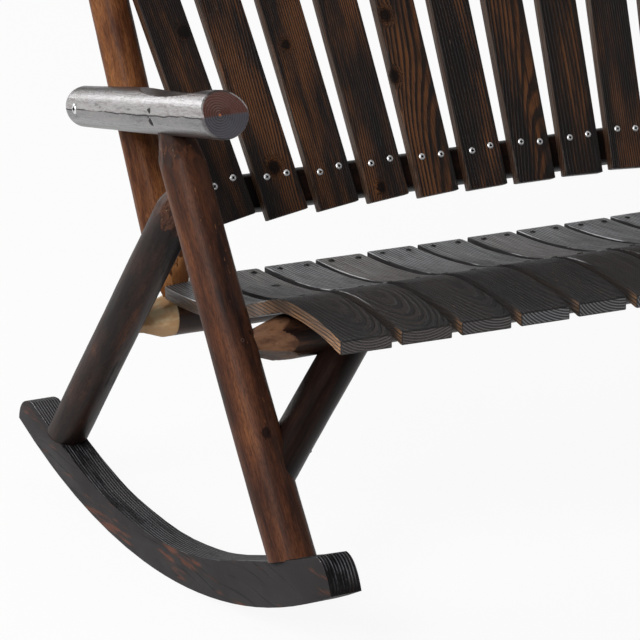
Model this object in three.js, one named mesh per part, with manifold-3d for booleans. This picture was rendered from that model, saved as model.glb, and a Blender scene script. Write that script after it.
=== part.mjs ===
// Two-seat rocking bench of charred fir logs and boards, with a contoured slatted seat and a fanned back.
// Millimetres. X runs along the bench, the sitter faces -Y and Z is up.
// The origin lies on the floor, midway between the bench's sides and between the rockers' two ends.

import * as THREE from 'three';
import { mergeVertices } from 'three/addons/utils/BufferGeometryUtils.js';
import Module from 'manifold-3d';

const wasm = await Module();
wasm.setup();

// Driving sizes of the seat
const seatSlatCount = 15;
const seatSlatWidth = 61.6;
const seatSlatThickness = 15.5;
const frontSlatGap = 12.4;
const rearSlatGap = 9.1;
const seatDepth = 505;
const seatCrestHeight = 390;
const seatRearDrop = 69.5;
// Along the seat from front to rear, and down from the crest towards the rear
const seatProfileShares = [
  [0, 0.17], [0.07, 0.07], [0.16, 0.01], [0.23, 0], [0.3, 0.05], [0.37, 0.19],
  [0.49, 0.48], [0.64, 0.785], [0.76, 0.915], [0.88, 0.985], [1, 1],
];
const seatProfileStepCount = 14;
const restStepCount = 40;

// Driving sizes of the rockers
const rockerThickness = 37;
const rockerDepth = 39;
const rockerRadius = 1014;
const lowestPointOffset = 37;
const restFlatLength = 30;
const toeReach = 34;
const heelReach = 307;
const toeRoundReach = 22.1;
const heelRoundInset = 4.4;
const rockerStepCount = 30;
// Along the rocker from toe to heel, and its height there against the rocker's depth
const rockerDepthShares = [
  [0.04, 1.3], [0.1, 1.36], [0.18, 1.39], [0.32, 1.23], [0.41, 1.09], [0.53, 1], [0.67, 1.01],
  [0.76, 1.08], [0.84, 1.16], [0.9, 1.25], [0.948, 1.24],
];
const rockerOffset = 14;

// Driving sizes of the legs
const frontLegRadius = 26.4;
const frontFootSetback = 91;
const frontLegSplayAngle = 4;
const rearLegRadius = 24.4;
const rearFootInset = 112;
const rearTaperLength = 64;
const rearShoulderLength = 36;
const rearShoulderRadius = 22;

// Driving sizes of the seat rails
const frontRailRadius = 25.9;
const frontRailSetback = 197;
const frontConeLength = 42;
const rearRailRadius = 25.2;
const rearRailInset = 6;
const rearConeLength = 32;
const tenonRadius = 13;
const tenonReach = 9;

// Driving sizes of the back
const postRadius = 24.1;
const postInset = 21.5;
const postSetback = 10;
const postReclineAngle = 23.5;
const postSplayAngle = 2.1;
const postTopRise = 65;
const postCrownLength = 36;
// Down from the post's top against its crown's length, and its radius there against its own
const postCrownShares = [[1, 1], [0.5, 0.88], [0.125, 0.55], [0, 0.2]];
const postFootLength = 45;
const reclineAngle = 21;
const backRailRadius = 24.3;
const lowerRailRise = 83;
const backRailSpread = 411.5;
const backConeLength = 30;
const backTenonRadius = 11;
const lowerFlatDistance = 15.5;
const upperFlatDistance = 23.8;
const backSlatCount = 13;
const backSlatWidth = 55;
const backSlatGap = 16;
const backSlatThickness = 14;
const fanAngle = 1.74;
const backSlatTail = 34;
const crownRise = 160;
const crownDrop = 80;

// Driving sizes of the arms
const armFrontRadius = 27;
const armRearRadius = 25;
const armRise = 77;
const armFall = 51;
const armFrontReach = 195;
const armRearReach = 46;
const armBevel = 22;
const armEdgeRadius = 26.2;
const armEdgeLength = 2.7;
const armRearRound = 11;
const armRearEdgeLength = 3.3;
const armRearEdgeRadius = 21.5;
const armRearEndRadius = 16.5;
const armDishLength = 165;
const armDishDepth = 7;
const armDishSetback = 142;
const neckRadius = 17;
const neckMiddleRadius = 23.4;
const neckLength = 40;

// Driving sizes of the braces
const braceRadius = 24;
const braceFootHeight = 190;
const braceReach = 156;
const braceBoltRise = 36;
const braceBoltSink = 3;

// Driving sizes of the screws and bolts
const headRadius = 4.2;
const headHeight = 2.2;
const shankRadius = 2;
const screwBite = 22;
const boltHeadRadius = 6;
const boltHeadHeight = 3.6;
const boltRadius = 3.2;
const boltBite = 30;
const boltRecess = 9;
const headSink = 1;

// Shared clearances and the overrun of every cut
const clearance = 0.3;
const seatRestGap = 0.8;
const overrun = 20;
const boreReach = 54;
const notchClearance = 1.2;

// Round pieces are faceted with these many sides
const logSideCount = 16;
const boreSideCount = 12;
const screwSideCount = 6;
const dishSideCount = 64;
const slatArchStepCount = 3;

// Charred boards, warm oiled logs, and two sorts of steel
const charredBoard = new THREE.MeshStandardMaterial({ color: '#2f2927', roughness: 0.62, metalness: 0 });
const charredRocker = new THREE.MeshStandardMaterial({ color: '#383433', roughness: 0.55, metalness: 0 });
const umberBoard = new THREE.MeshStandardMaterial({ color: '#4a2f22', roughness: 0.6, metalness: 0 });
const warmLog = new THREE.MeshStandardMaterial({ color: '#5b3522', roughness: 0.45, metalness: 0 });
const darkLog = new THREE.MeshStandardMaterial({ color: '#46302a', roughness: 0.42, metalness: 0 });
const silverSteel = new THREE.MeshStandardMaterial({ color: '#b9babc', roughness: 0.3, metalness: 1 });
const blackSteel = new THREE.MeshStandardMaterial({ color: '#1f1e1f', roughness: 0.5, metalness: 1 });

const bench = new THREE.Group();
bench.name = 'rocking_bench';

const radians = THREE.MathUtils.degToRad;
const point = (x, y, z) => new THREE.Vector3(x, y, z);
const along = (from, direction, distance) => from.clone().addScaledVector(direction, distance);

// Turns a closed three.js geometry into a solid that can be cut and joined. Its doubled corners are
// merged where it was drawn, where they agree exactly, before the frame moves it to its place.
function solidOf(geometry, frame = new THREE.Matrix4()) {
  const bare = geometry.index ? geometry.toNonIndexed() : geometry.clone();
  bare.deleteAttribute('normal');
  bare.deleteAttribute('uv');
  const merged = mergeVertices(bare);
  const corners = [];
  for (let i = 0; i < merged.index.count; i += 3) {
    const [a, b, c] = [merged.index.getX(i), merged.index.getX(i + 1), merged.index.getX(i + 2)];
    if (a !== b && b !== c && c !== a) corners.push(a, b, c);
  }
  merged.applyMatrix4(frame);
  const vertProperties = new Float32Array(merged.attributes.position.array);
  const mesh = new wasm.Mesh({ numProp: 3, vertProperties, triVerts: new Uint32Array(corners) });
  return new wasm.Manifold(mesh);
}

// The frame whose +Y runs from one point towards another
function frameAlong(from, to) {
  const direction = to.clone().sub(from).normalize();
  const turn = new THREE.Quaternion().setFromUnitVectors(point(0, 1, 0), direction);
  return new THREE.Matrix4().compose(from, turn, point(1, 1, 1));
}

// The frame of an outline drawn in Y and Z that is extruded along +X
function frameAcross(origin, turnAboutZ = 0) {
  const basis = new THREE.Matrix4().makeBasis(point(0, 1, 0), point(0, 0, 1), point(1, 0, 0));
  const turned = new THREE.Matrix4().makeRotationZ(turnAboutZ).multiply(basis);
  return turned.setPosition(origin);
}

// Hands a finished solid to the bench as a named mesh with its own place and turn
function place(name, solid, frame, material) {
  const { numProp, vertProperties, triVerts } = solid.getMesh();
  const positions = new Float32Array((vertProperties.length / numProp) * 3);
  for (let i = 0; i * numProp < vertProperties.length; i += 1) {
    positions.set(vertProperties.subarray(i * numProp, i * numProp + 3), i * 3);
  }
  const geometry = new THREE.BufferGeometry();
  geometry.setAttribute('position', new THREE.BufferAttribute(positions, 3));
  geometry.setIndex(new THREE.BufferAttribute(new Uint32Array(triVerts), 1));
  geometry.applyMatrix4(frame.clone().invert());
  geometry.computeVertexNormals();
  const mesh = new THREE.Mesh(geometry, material);
  mesh.name = name;
  frame.decompose(mesh.position, mesh.quaternion, mesh.scale);
  bench.add(mesh);
}

// A turned solid between two points, its stations given as distances from the first point with radii
function turned(from, to, stations, sides) {
  const profile = stations.map(([distance, radius]) => new THREE.Vector2(radius, distance));
  const first = new THREE.Vector2(0, stations[0][0]);
  const last = new THREE.Vector2(0, stations[stations.length - 1][0]);
  const geometry = new THREE.LatheGeometry([first, ...profile, last], sides);
  return solidOf(geometry, frameAlong(from, to));
}

// A plain round bar or bore between two points
function bar(from, to, radius, sides = boreSideCount) {
  return turned(from, to, [[0, radius], [from.distanceTo(to), radius]], sides);
}

// A plain log, with the clearance that a piece cut to fit round it needs
const logBar = (from, to, radius) => bar(from, to, radius + clearance, logSideCount);

const joined = (solids) => wasm.Manifold.union(solids);

// One screw from its head's seat into the wood, with a low domed head standing clear of the surface
function screw(seat, direction, length, sizes) {
  const start = along(seat, direction, -clearance);
  const stations = [[0, sizes.head], [0, sizes.shank], [length, sizes.shank]];
  const profile = stations.map(([distance, radius]) => new THREE.Vector2(radius, distance));
  profile.unshift(new THREE.Vector2(0, -sizes.height));
  profile.push(new THREE.Vector2(0, length));
  const geometry = new THREE.LatheGeometry(profile, screwSideCount);
  return solidOf(geometry, frameAlong(start, along(start, direction, length)));
}

// The hole that takes a screw's shank, from outside its surface to just past its tip
function screwHole(seat, direction, length, sizes) {
  const from = along(seat, direction, -sizes.head);
  const to = along(seat, direction, length + clearance);
  return bar(from, to, sizes.shank + clearance, screwSideCount);
}

const woodScrew = { head: headRadius, height: headHeight, shank: shankRadius };
const bolt = { head: boltHeadRadius, height: boltHeadHeight, shank: boltRadius };

// Rockers: an arc below with a short flat where the bench comes to rest, and a hand-sawn top line

const rockerLength = toeReach + seatDepth + heelReach;
const toeY = -rockerLength / 2;
const heelY = rockerLength / 2;
const rockerFloorLift = rockerRadius - Math.sqrt(rockerRadius ** 2 - (restFlatLength / 2) ** 2);

function rockerUnderside(y) {
  const reach = Math.max(Math.abs(y - lowestPointOffset), restFlatLength / 2);
  return rockerRadius - Math.sqrt(rockerRadius ** 2 - reach ** 2) - rockerFloorLift;
}

const rockerTopCurve = new THREE.SplineCurve(rockerDepthShares.map(([lengthShare, depthShare]) => {
  const y = toeY + rockerLength * lengthShare;
  return new THREE.Vector2(y, rockerUnderside(y) + rockerDepth * depthShare);
}));
const rockerTopPoints = rockerTopCurve.getPoints(rockerStepCount);

// The height of the rocker's top at a distance along it
function rockerTop(y) {
  for (let i = 1; i < rockerTopPoints.length; i += 1) {
    const [before, after] = [rockerTopPoints[i - 1], rockerTopPoints[i]];
    if (y <= after.x) {
      return before.y + ((after.y - before.y) * (y - before.x)) / (after.x - before.x);
    }
  }
  return rockerTopPoints[rockerTopPoints.length - 1].y;
}

function rockerOutline() {
  const first = rockerTopPoints[0];
  const last = rockerTopPoints[rockerTopPoints.length - 1];
  const toeBottom = new THREE.Vector2(toeY, rockerUnderside(toeY));
  const heelBottom = new THREE.Vector2(heelY, rockerUnderside(heelY));
  const outline = new THREE.Shape();
  outline.moveTo(toeBottom.x, toeBottom.y);
  for (const side of [-1, 1]) {
    const [from, to] = side < 0
      ? [toeY, lowestPointOffset - restFlatLength / 2]
      : [lowestPointOffset + restFlatLength / 2, heelY];
    for (let i = side < 0 ? 1 : 0; i <= rockerStepCount / 2; i += 1) {
      const y = from + ((to - from) * i) / (rockerStepCount / 2);
      outline.lineTo(y, rockerUnderside(y));
    }
  }
  outline.quadraticCurveTo(heelBottom.x - heelRoundInset, last.y, last.x, last.y);
  for (const corner of [...rockerTopPoints].reverse().slice(1)) outline.lineTo(corner.x, corner.y);
  outline.quadraticCurveTo(first.x - toeRoundReach, first.y, toeBottom.x, toeBottom.y);
  return outline;
}

// Everything below the rockers' top line, for cutting the legs' feet to sit on it
function belowRockerTop(side) {
  const outline = new THREE.Shape();
  const raised = rockerTopPoints.map((corner) => new THREE.Vector2(corner.x, corner.y + clearance));
  outline.moveTo(raised[0].x - overrun, raised[0].y);
  for (const corner of raised) outline.lineTo(corner.x, corner.y);
  const last = raised[raised.length - 1];
  outline.lineTo(last.x + overrun, last.y);
  outline.lineTo(last.x + overrun, -overrun);
  outline.lineTo(raised[0].x - overrun, -overrun);
  const width = rockerThickness + 2 * boreReach;
  const geometry = new THREE.ExtrudeGeometry(outline, { depth: width, bevelEnabled: false });
  const origin = point(side * rockerPlaneX - width / 2, 0, 0);
  return solidOf(geometry, frameAcross(origin));
}

// Seat slats: one contour for all, fanned a little wider at the front than at the rear

const seatFrontY = toeY + toeReach;
const seatRearY = seatFrontY + seatDepth;
const frontPitch = seatSlatWidth + frontSlatGap;
const rearPitch = seatSlatWidth + rearSlatGap;
const seatFrontHalf = (seatSlatCount * frontPitch - frontSlatGap) / 2;
const seatRearHalf = (seatSlatCount * rearPitch - rearSlatGap) / 2;
const rockerPlaneX = seatFrontHalf + rockerOffset;

const seatCurve = new THREE.SplineCurve(seatProfileShares.map(([depthShare, dropShare]) => (
  new THREE.Vector2(seatFrontY + seatDepth * depthShare, seatCrestHeight - seatRearDrop * dropShare)
)));
const seatTopPoints = seatCurve.getPoints(seatProfileStepCount);
const seatBottomPoints = seatTopPoints.map((corner, i) => {
  const before = seatTopPoints[Math.max(i - 1, 0)];
  const after = seatTopPoints[Math.min(i + 1, seatTopPoints.length - 1)];
  const slope = (after.y - before.y) / (after.x - before.x);
  return new THREE.Vector2(corner.x, corner.y - seatSlatThickness * Math.hypot(1, slope));
});

// The height of a seat line at a distance from front to rear
function heightOn(points, y) {
  const i = Math.max(1, points.findIndex((corner) => corner.x >= y));
  const [before, after] = [points[i - 1], points[i]];
  return before.y + ((after.y - before.y) * (y - before.x)) / (after.x - before.x);
}

// The height of a round rail's axis when the slats rest on it
function railHeightUnderSeat(y, radius) {
  let height = Infinity;
  for (let i = 1 - restStepCount; i < restStepCount; i += 1) {
    const offset = (radius * i) / restStepCount;
    height = Math.min(height, heightOn(seatBottomPoints, y + offset) - Math.sqrt(radius ** 2 - offset ** 2));
  }
  return height - seatRestGap;
}

const frontRailY = seatFrontY + frontRailSetback;
const frontRailZ = railHeightUnderSeat(frontRailY, frontRailRadius);
const rearRailY = seatRearY - rearRailInset;
const rearRailZ = heightOn(seatBottomPoints, rearRailY) - rearRailRadius - clearance;

// Legs: each front leg runs from its foot through the front rail to the arm, and each rear leg runs
// from its foot through the rear rail to the back of the front leg

const frontFoot = point(rockerPlaneX, seatFrontY + frontFootSetback, 0);
frontFoot.z = rockerTop(frontFoot.y);
const frontLegRise = (frontRailY - frontFoot.y) / (frontRailZ - frontFoot.z);
const frontLegDirection = point(Math.tan(radians(frontLegSplayAngle)), frontLegRise, 1).normalize();

const rearFoot = point(rockerPlaneX, heelY - rearFootInset, 0);
rearFoot.z = rockerTop(rearFoot.y);
const rearLegRise = (rearRailY - rearFoot.y) / (rearRailZ - rearFoot.z);
const legsMeetZ = (frontFoot.y - rearFoot.y + rearLegRise * rearFoot.z - frontLegRise * frontFoot.z)
  / (rearLegRise - frontLegRise);

// The point of a straight axis at a height
const atHeight = (start, direction, z) => along(start, direction, (z - start.z) / direction.z);

const legsMeet = atHeight(frontFoot, frontLegDirection, legsMeetZ);
const rearLegDirection = legsMeet.clone().sub(rearFoot).normalize();
const frontRailJoint = atHeight(frontFoot, frontLegDirection, frontRailZ);
const rearRailJoint = atHeight(rearFoot, rearLegDirection, rearRailZ);

// Posts: each stands in the rear rail and leans back with the slats

const lowerRailHeight = seatCrestHeight - seatRearDrop + lowerRailRise;
const upperRailHeight = lowerRailHeight + backRailSpread;
const postTopHeight = upperRailHeight + postTopRise;
const crownHeight = upperRailHeight + crownRise;
const postFoot = point(seatRearHalf - postInset, rearRailY - postSetback, rearRailZ);
const [postSplay, postRecline] = [postSplayAngle, postReclineAngle].map((angle) => Math.tan(radians(angle)));
const postDirection = point(postSplay, postRecline, 1).normalize();
const slatUp = point(0, Math.sin(radians(reclineAngle)), Math.cos(radians(reclineAngle)));
const slatOut = point(0, -Math.cos(radians(reclineAngle)), Math.sin(radians(reclineAngle)));

// The lower back rail lies on the posts' axes, and the slats lie on its flat
const lowerRailMiddle = atHeight(postFoot, postDirection, lowerRailHeight).setX(0);
const faceBeforeLowerRail = lowerFlatDistance + clearance + backSlatThickness;
const faceFoot = along(lowerRailMiddle, slatOut, faceBeforeLowerRail);

// The upper back rail lies behind the same slats, its own flat nearer its surface
const faceBeforeUpperRail = upperFlatDistance + clearance + backSlatThickness;
const upperRailMiddle = along(atHeight(faceFoot, slatUp, upperRailHeight), slatOut, -faceBeforeUpperRail);

// Arms: each lies on the front leg's neck and along the outside of the post

const armHeight = legsMeetZ + armRise;
const armOnLeg = atHeight(frontFoot, frontLegDirection, armHeight);
const armBesidePost = atHeight(postFoot, postDirection, armHeight - armFall);
armBesidePost.x += postRadius + armRearRadius + clearance;
const armDirection = armBesidePost.clone().sub(armOnLeg).normalize();
const armFront = along(armOnLeg, armDirection, -armFrontReach);
const armRear = along(armBesidePost, armDirection, armRearReach);

// Braces: each rises from the inside of the front leg to the underside of the front rail

const braceFoot = atHeight(frontFoot, frontLegDirection, braceFootHeight);
const braceHead = point(frontRailJoint.x - braceReach, frontRailY, frontRailZ);

const mirrored = (corner, side) => point(side * corner.x, corner.y, corner.z);

const slatRank = (index, count) => index - (count - 1) / 2;

// The middle of a seat slat at a distance from front to rear
function seatSlatX(index, y) {
  const share = (y - seatFrontY) / seatDepth;
  return slatRank(index, seatSlatCount) * (frontPitch + (rearPitch - frontPitch) * share);
}

const isEndSlat = (index) => index === 0 || index === seatSlatCount - 1;

// A back slat's axis, fanned out from the lower rail
function backSlatAxis(index) {
  const rank = slatRank(index, backSlatCount);
  const fan = radians(fanAngle * rank);
  const foot = point(rank * (backSlatWidth + backSlatGap), faceFoot.y, faceFoot.z);
  const up = point(Math.sin(fan), 0, 0).addScaledVector(slatUp, Math.cos(fan));
  const across = point(Math.cos(fan), 0, 0).addScaledVector(slatUp, -Math.sin(fan));
  return { rank, foot, up, across };
}

// The bolts and long screws of one side of the bench

function lagBolt(foot, side) {
  const inward = point(0, lowestPointOffset - foot.y, rockerRadius - rockerFloorLift - foot.z).normalize();
  const depth = foot.z - rockerUnderside(foot.y);
  const seat = along(mirrored(foot, side), inward, boltRecess - depth * inward.z);
  return { seat, direction: inward, length: depth * inward.z - boltRecess + boltBite };
}

function armBolt(side) {
  const onPost = atHeight(postFoot, postDirection, armBesidePost.z);
  const inward = onPost.sub(armBesidePost).normalize();
  const seat = along(armBesidePost, inward, headSink - armRearRadius);
  const direction = point(side * inward.x, inward.y, inward.z);
  return { seat: mirrored(seat, side), direction, length: 2 * armRearRadius + screwBite };
}

// The recess that takes a bolt's head, from its seat outwards
function headRecess({ seat, direction }, sizes) {
  return bar(along(seat, direction, -overrun), seat, sizes.head + clearance);
}

// A screw square to a leg that pins a rail's tenon in it
function tenonPin(joint, legDirection, radius, side, facing) {
  const inward = point(0, facing * legDirection.z, -facing * legDirection.y).normalize();
  const seat = along(mirrored(joint, side), inward, headSink - radius);
  return { seat, direction: inward, length: radius + tenonRadius };
}

function braceHeadBolt(side) {
  const direction = point(0, 0, 1);
  const braceDirection = braceHead.clone().sub(braceFoot).normalize();
  const middle = along(braceHead, braceDirection, -braceRadius);
  const drop = braceRadius / Math.hypot(braceDirection.x, braceDirection.y) - braceBoltSink;
  const seat = point(middle.x, middle.y, middle.z - drop);
  const railUnderside = frontRailZ - frontRailRadius;
  return { seat: mirrored(seat, side), direction, length: railUnderside - seat.z + screwBite };
}

function braceFootBolt(side) {
  const braceDirection = braceHead.clone().sub(braceFoot).normalize();
  const middle = along(braceFoot, braceDirection, braceBoltRise);
  const reach = braceRadius / Math.hypot(braceDirection.y, braceDirection.z) - braceBoltSink;
  const seat = point(middle.x - reach, middle.y, middle.z);
  const legFace = atHeight(frontFoot, frontLegDirection, middle.z).x - frontLegRadius;
  return { seat: mirrored(seat, side), direction: point(side, 0, 0), length: legFace - seat.x + screwBite };
}

const boltHole = ({ seat, direction, length }, sizes) => screwHole(seat, direction, length, sizes);
const boltSolid = ({ seat, direction, length }, sizes) => screw(seat, direction, length, sizes);

const sides = [[-1, 'left'], [1, 'right']];
const rearLegPin = (side) => tenonPin(rearRailJoint, rearLegDirection, rearLegRadius, side, -1);
const frontLegPin = (side) => tenonPin(frontRailJoint, frontLegDirection, frontLegRadius, side, 1);

function makeRocker(side, name) {
  const settings = { depth: rockerThickness, bevelEnabled: false };
  const geometry = new THREE.ExtrudeGeometry(rockerOutline(), settings);
  const frame = frameAcross(point(side * rockerPlaneX - rockerThickness / 2, 0, 0));
  const bolts = [frontFoot, rearFoot].map((foot) => lagBolt(foot, side));
  const recesses = bolts.map((each) => headRecess(each, bolt));
  const holes = bolts.map((each) => boltHole(each, bolt));
  const solid = solidOf(geometry, frame).subtract(joined([...recesses, ...holes]));
  place(`${name}_rocker`, solid, frame, charredRocker);
}

// The bore that takes a log's tenon, a clearance wider than it
const mortise = (from, to, radius) => bar(from, to, radius + clearance, logSideCount);

function makeFrontLeg(side, name) {
  const foot = mirrored(frontFoot, side);
  const direction = point(side * frontLegDirection.x, frontLegDirection.y, frontLegDirection.z);
  const start = along(foot, direction, -overrun - frontLegRadius);
  const top = mirrored(armOnLeg, side);
  const length = start.distanceTo(top);
  const shoulder = length - armFrontRadius - clearance;
  const solid = turned(start, top, [
    [0, frontLegRadius], [shoulder - neckLength, frontLegRadius],
    [shoulder - neckLength / 2, neckMiddleRadius], [shoulder, neckRadius],
    [shoulder + clearance, neckRadius], [shoulder + clearance, tenonRadius], [length, tenonRadius],
  ], logSideCount);
  const armRound = logBar(mirrored(armFront, side), mirrored(armRear, side), armFrontRadius);
  const armTenon = bar(along(top, direction, -boreReach), top, tenonRadius, logSideCount);
  const railJoint = mirrored(frontRailJoint, side);
  const railMortise = mortise(
    point(railJoint.x - side * boreReach, railJoint.y, railJoint.z),
    point(railJoint.x + side * (tenonReach + clearance), railJoint.y, railJoint.z), tenonRadius,
  );
  const meet = mirrored(legsMeet, side);
  const rearDirection = mirrored(rearLegDirection, side);
  const legMortise = mortise(
    along(meet, rearDirection, -boreReach), along(meet, rearDirection, clearance), tenonRadius,
  );
  const cuts = joined([
    belowRockerTop(side), railMortise, legMortise, boltHole(lagBolt(frontFoot, side), bolt),
    boltHole(frontLegPin(side), woodScrew), boltHole(braceFootBolt(side), woodScrew),
    headRecess(frontLegPin(side), woodScrew),
  ]);
  const body = solid.subtract(armRound).add(armTenon.intersect(solid)).subtract(cuts);
  place(`${name}_front_leg`, body, frameAlong(foot, top), warmLog);
}

function makeRearLeg(side, name) {
  const foot = mirrored(rearFoot, side);
  const direction = mirrored(rearLegDirection, side);
  const start = along(foot, direction, -overrun - boreReach);
  const top = mirrored(legsMeet, side);
  const length = start.distanceTo(top);
  const crossing = frontLegDirection.angleTo(rearLegDirection);
  const shoulder = length - frontLegRadius / Math.sin(crossing);
  const solid = turned(start, top, [
    [0, rearLegRadius], [shoulder - rearTaperLength, rearLegRadius],
    [shoulder - rearShoulderLength, rearShoulderRadius], [shoulder, neckRadius],
    [shoulder + frontLegRadius / 2, neckRadius], [shoulder + frontLegRadius / 2, tenonRadius],
    [length, tenonRadius],
  ], logSideCount);
  const frontLegRound = logBar(mirrored(frontFoot, side), mirrored(armOnLeg, side), frontLegRadius);
  const tenon = bar(along(top, direction, -boreReach), top, tenonRadius, logSideCount);
  const railJoint = mirrored(rearRailJoint, side);
  const railMortise = mortise(
    point(railJoint.x - side * boreReach, railJoint.y, railJoint.z),
    point(railJoint.x + side * (tenonReach + clearance), railJoint.y, railJoint.z), tenonRadius,
  );
  const cuts = joined([
    belowRockerTop(side), railMortise, boltHole(lagBolt(rearFoot, side), bolt),
    boltHole(rearLegPin(side), woodScrew), headRecess(rearLegPin(side), woodScrew),
  ]);
  const body = solid.subtract(frontLegRound).add(tenon).subtract(cuts);
  place(`${name}_rear_leg`, body, frameAlong(foot, top), darkLog);
}

// A seat rail between two joints, with whittled cones that end in tenons
function railSolid(joint, radius, legRadius, coneLength, coneTenon, reach) {
  const start = point(-joint.x - reach, joint.y, joint.z);
  const end = point(joint.x + reach, joint.y, joint.z);
  const length = start.distanceTo(end);
  const tip = legRadius + reach;
  return turned(start, end, [
    [0, coneTenon], [tip, coneTenon], [tip + coneLength, radius],
    [length - tip - coneLength, radius], [length - tip, coneTenon], [length, coneTenon],
  ], logSideCount);
}

function makeFrontRail() {
  const solid = railSolid(
    frontRailJoint, frontRailRadius, frontLegRadius, frontConeLength, tenonRadius, tenonReach,
  );
  const holes = [
    ...sides.map(([side]) => boltHole(frontLegPin(side), woodScrew)),
    ...sides.map(([side]) => boltHole(braceHeadBolt(side), woodScrew)),
  ];
  const frame = frameAlong(mirrored(frontRailJoint, -1), frontRailJoint);
  place('front_seat_rail', solid.subtract(joined(holes)), frame, warmLog);
}

function makeRearRail() {
  const solid = railSolid(
    rearRailJoint, rearRailRadius, rearLegRadius, rearConeLength, tenonRadius, tenonReach,
  );
  const holes = [
    ...sides.map(([side]) => boltHole(rearLegPin(side), woodScrew)),
    ...sides.map(([side]) => {
      const foot = mirrored(postFoot, side);
      return mortise(foot, along(foot, mirrored(postDirection, side), boreReach), tenonRadius);
    }),
  ];
  const frame = frameAlong(mirrored(rearRailJoint, -1), rearRailJoint);
  place('rear_seat_rail', solid.subtract(joined(holes)), frame, darkLog);
}

// A post's distances and radii from its foot point in the rear rail: its tenon, its foot and its crown
function postStations(length) {
  const crown = postCrownShares.map(([lengthShare, radiusShare]) => (
    [length - postCrownLength * lengthShare, postRadius * radiusShare]
  ));
  return [
    [clearance, tenonRadius], [rearRailRadius, tenonRadius],
    [rearRailRadius + postFootLength, postRadius], ...crown,
  ];
}

function postCuts(side) {
  const direction = mirrored(postDirection, side);
  const middles = [lowerRailMiddle, upperRailMiddle].map((middle) => {
    const onPost = atHeight(mirrored(postFoot, side), direction, middle.z);
    return mortise(
      point(onPost.x - side * boreReach, middle.y, middle.z),
      point(onPost.x + side * clearance, middle.y, middle.z), backTenonRadius,
    );
  });
  return joined([...middles, boltHole(armBolt(side), bolt)]);
}

function makePost(side, name) {
  const foot = mirrored(postFoot, side);
  const top = atHeight(foot, mirrored(postDirection, side), postTopHeight);
  const solid = turned(foot, top, postStations(foot.distanceTo(top)), logSideCount);
  const direction = mirrored(postDirection, side);
  const [tenonStart, tenonEnd] = [clearance, postFootLength].map((reach) => along(foot, direction, reach));
  const tenon = bar(tenonStart, tenonEnd, tenonRadius, logSideCount);
  const rail = logBar(mirrored(rearRailJoint, -1), rearRailJoint, rearRailRadius);
  const body = solid.subtract(rail).add(tenon).subtract(postCuts(side));
  place(`${name}_back_post`, body, frameAlong(foot, top), warmLog);
}

// A post's own round, a clearance wider, for the cut in the arm that lies against it
function postRound(side) {
  const foot = mirrored(postFoot, side);
  const top = atHeight(foot, mirrored(postDirection, side), postTopHeight);
  const stations = postStations(foot.distanceTo(top));
  const wider = stations.map(([distance, radius]) => [distance, radius + clearance]);
  return turned(foot, top, wider, logSideCount);
}

function makeBackRail(name, middle, flatDistance) {
  const onPost = atHeight(postFoot, postDirection, middle.z);
  const joint = point(onPost.x, middle.y, middle.z);
  const solid = railSolid(joint, backRailRadius, postRadius, backConeLength, backTenonRadius, 0);
  const width = 2 * (joint.x - postRadius) - backConeLength;
  const flat = new THREE.BoxGeometry(width, backRailRadius, boreReach);
  flat.rotateX(-radians(reclineAngle));
  const centre = along(middle, slatOut, flatDistance + backRailRadius / 2);
  flat.translate(centre.x, centre.y, centre.z);
  place(name, solid.subtract(solidOf(flat)), frameAlong(mirrored(joint, -1), joint), warmLog);
}

function makeArm(side, name) {
  const front = mirrored(armFront, side);
  const rear = mirrored(armRear, side);
  const length = front.distanceTo(rear);
  const solid = turned(front, rear, [
    [0, armEdgeRadius], [armEdgeLength, armFrontRadius], [length / 2, armEdgeRadius],
    [length - armRearRound, armRearRadius], [length - armRearEdgeLength, armRearEdgeRadius],
    [length, armRearEndRadius],
  ], logSideCount);
  const direction = rear.clone().sub(front).normalize();
  const across = point(side, 0, 0);
  const up = point(0, -direction.z, direction.y).normalize();
  // The upper half of the front end is cut back at a slant
  const bevelAngle = Math.atan2(armFrontRadius, armBevel);
  const bevel = new THREE.BoxGeometry(2 * boreReach, boreReach, 2 * boreReach);
  bevel.translate(0, -boreReach / 2, 0);
  bevel.rotateX(Math.PI / 2 - bevelAngle - Math.asin(direction.z));
  bevel.translate(front.x, front.y, front.z);
  // A shallow dish is worn in the top
  const dishRadius = (armDishLength ** 2 / 4 + armDishDepth ** 2) / (2 * armDishDepth);
  const dishRise = armFrontRadius - armDishDepth + dishRadius;
  const dishMiddle = along(along(front, direction, armDishSetback), up, dishRise);
  const [dishStart, dishEnd] = [-boreReach, boreReach].map((reach) => along(dishMiddle, across, reach));
  const dish = bar(dishStart, dishEnd, dishRadius, dishSideCount);
  const legDirection = mirrored(frontLegDirection, side);
  const onLeg = mirrored(armOnLeg, side);
  const legMortise = mortise(
    along(onLeg, legDirection, -boreReach), along(onLeg, legDirection, clearance), tenonRadius,
  );
  const cuts = joined([
    solidOf(bevel), dish, legMortise, postRound(side), boltHole(armBolt(side), bolt),
    headRecess(armBolt(side), bolt),
  ]);
  place(`${name}_arm`, solid.subtract(cuts), frameAlong(front, rear), darkLog);
}

function makeBrace(side, name) {
  const foot = mirrored(braceFoot, side);
  const head = mirrored(braceHead, side);
  const solid = bar(foot, head, braceRadius, logSideCount);
  const legRound = logBar(mirrored(frontFoot, side), mirrored(armOnLeg, side), frontLegRadius);
  const rail = logBar(mirrored(frontRailJoint, -1), frontRailJoint, frontRailRadius);
  const cuts = joined([
    legRound, rail, boltHole(braceHeadBolt(side), woodScrew), boltHole(braceFootBolt(side), woodScrew),
    headRecess(braceHeadBolt(side), woodScrew), headRecess(braceFootBolt(side), woodScrew),
  ]);
  place(`${name}_brace`, solid.subtract(cuts), frameAlong(foot, head), warmLog);
}

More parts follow.
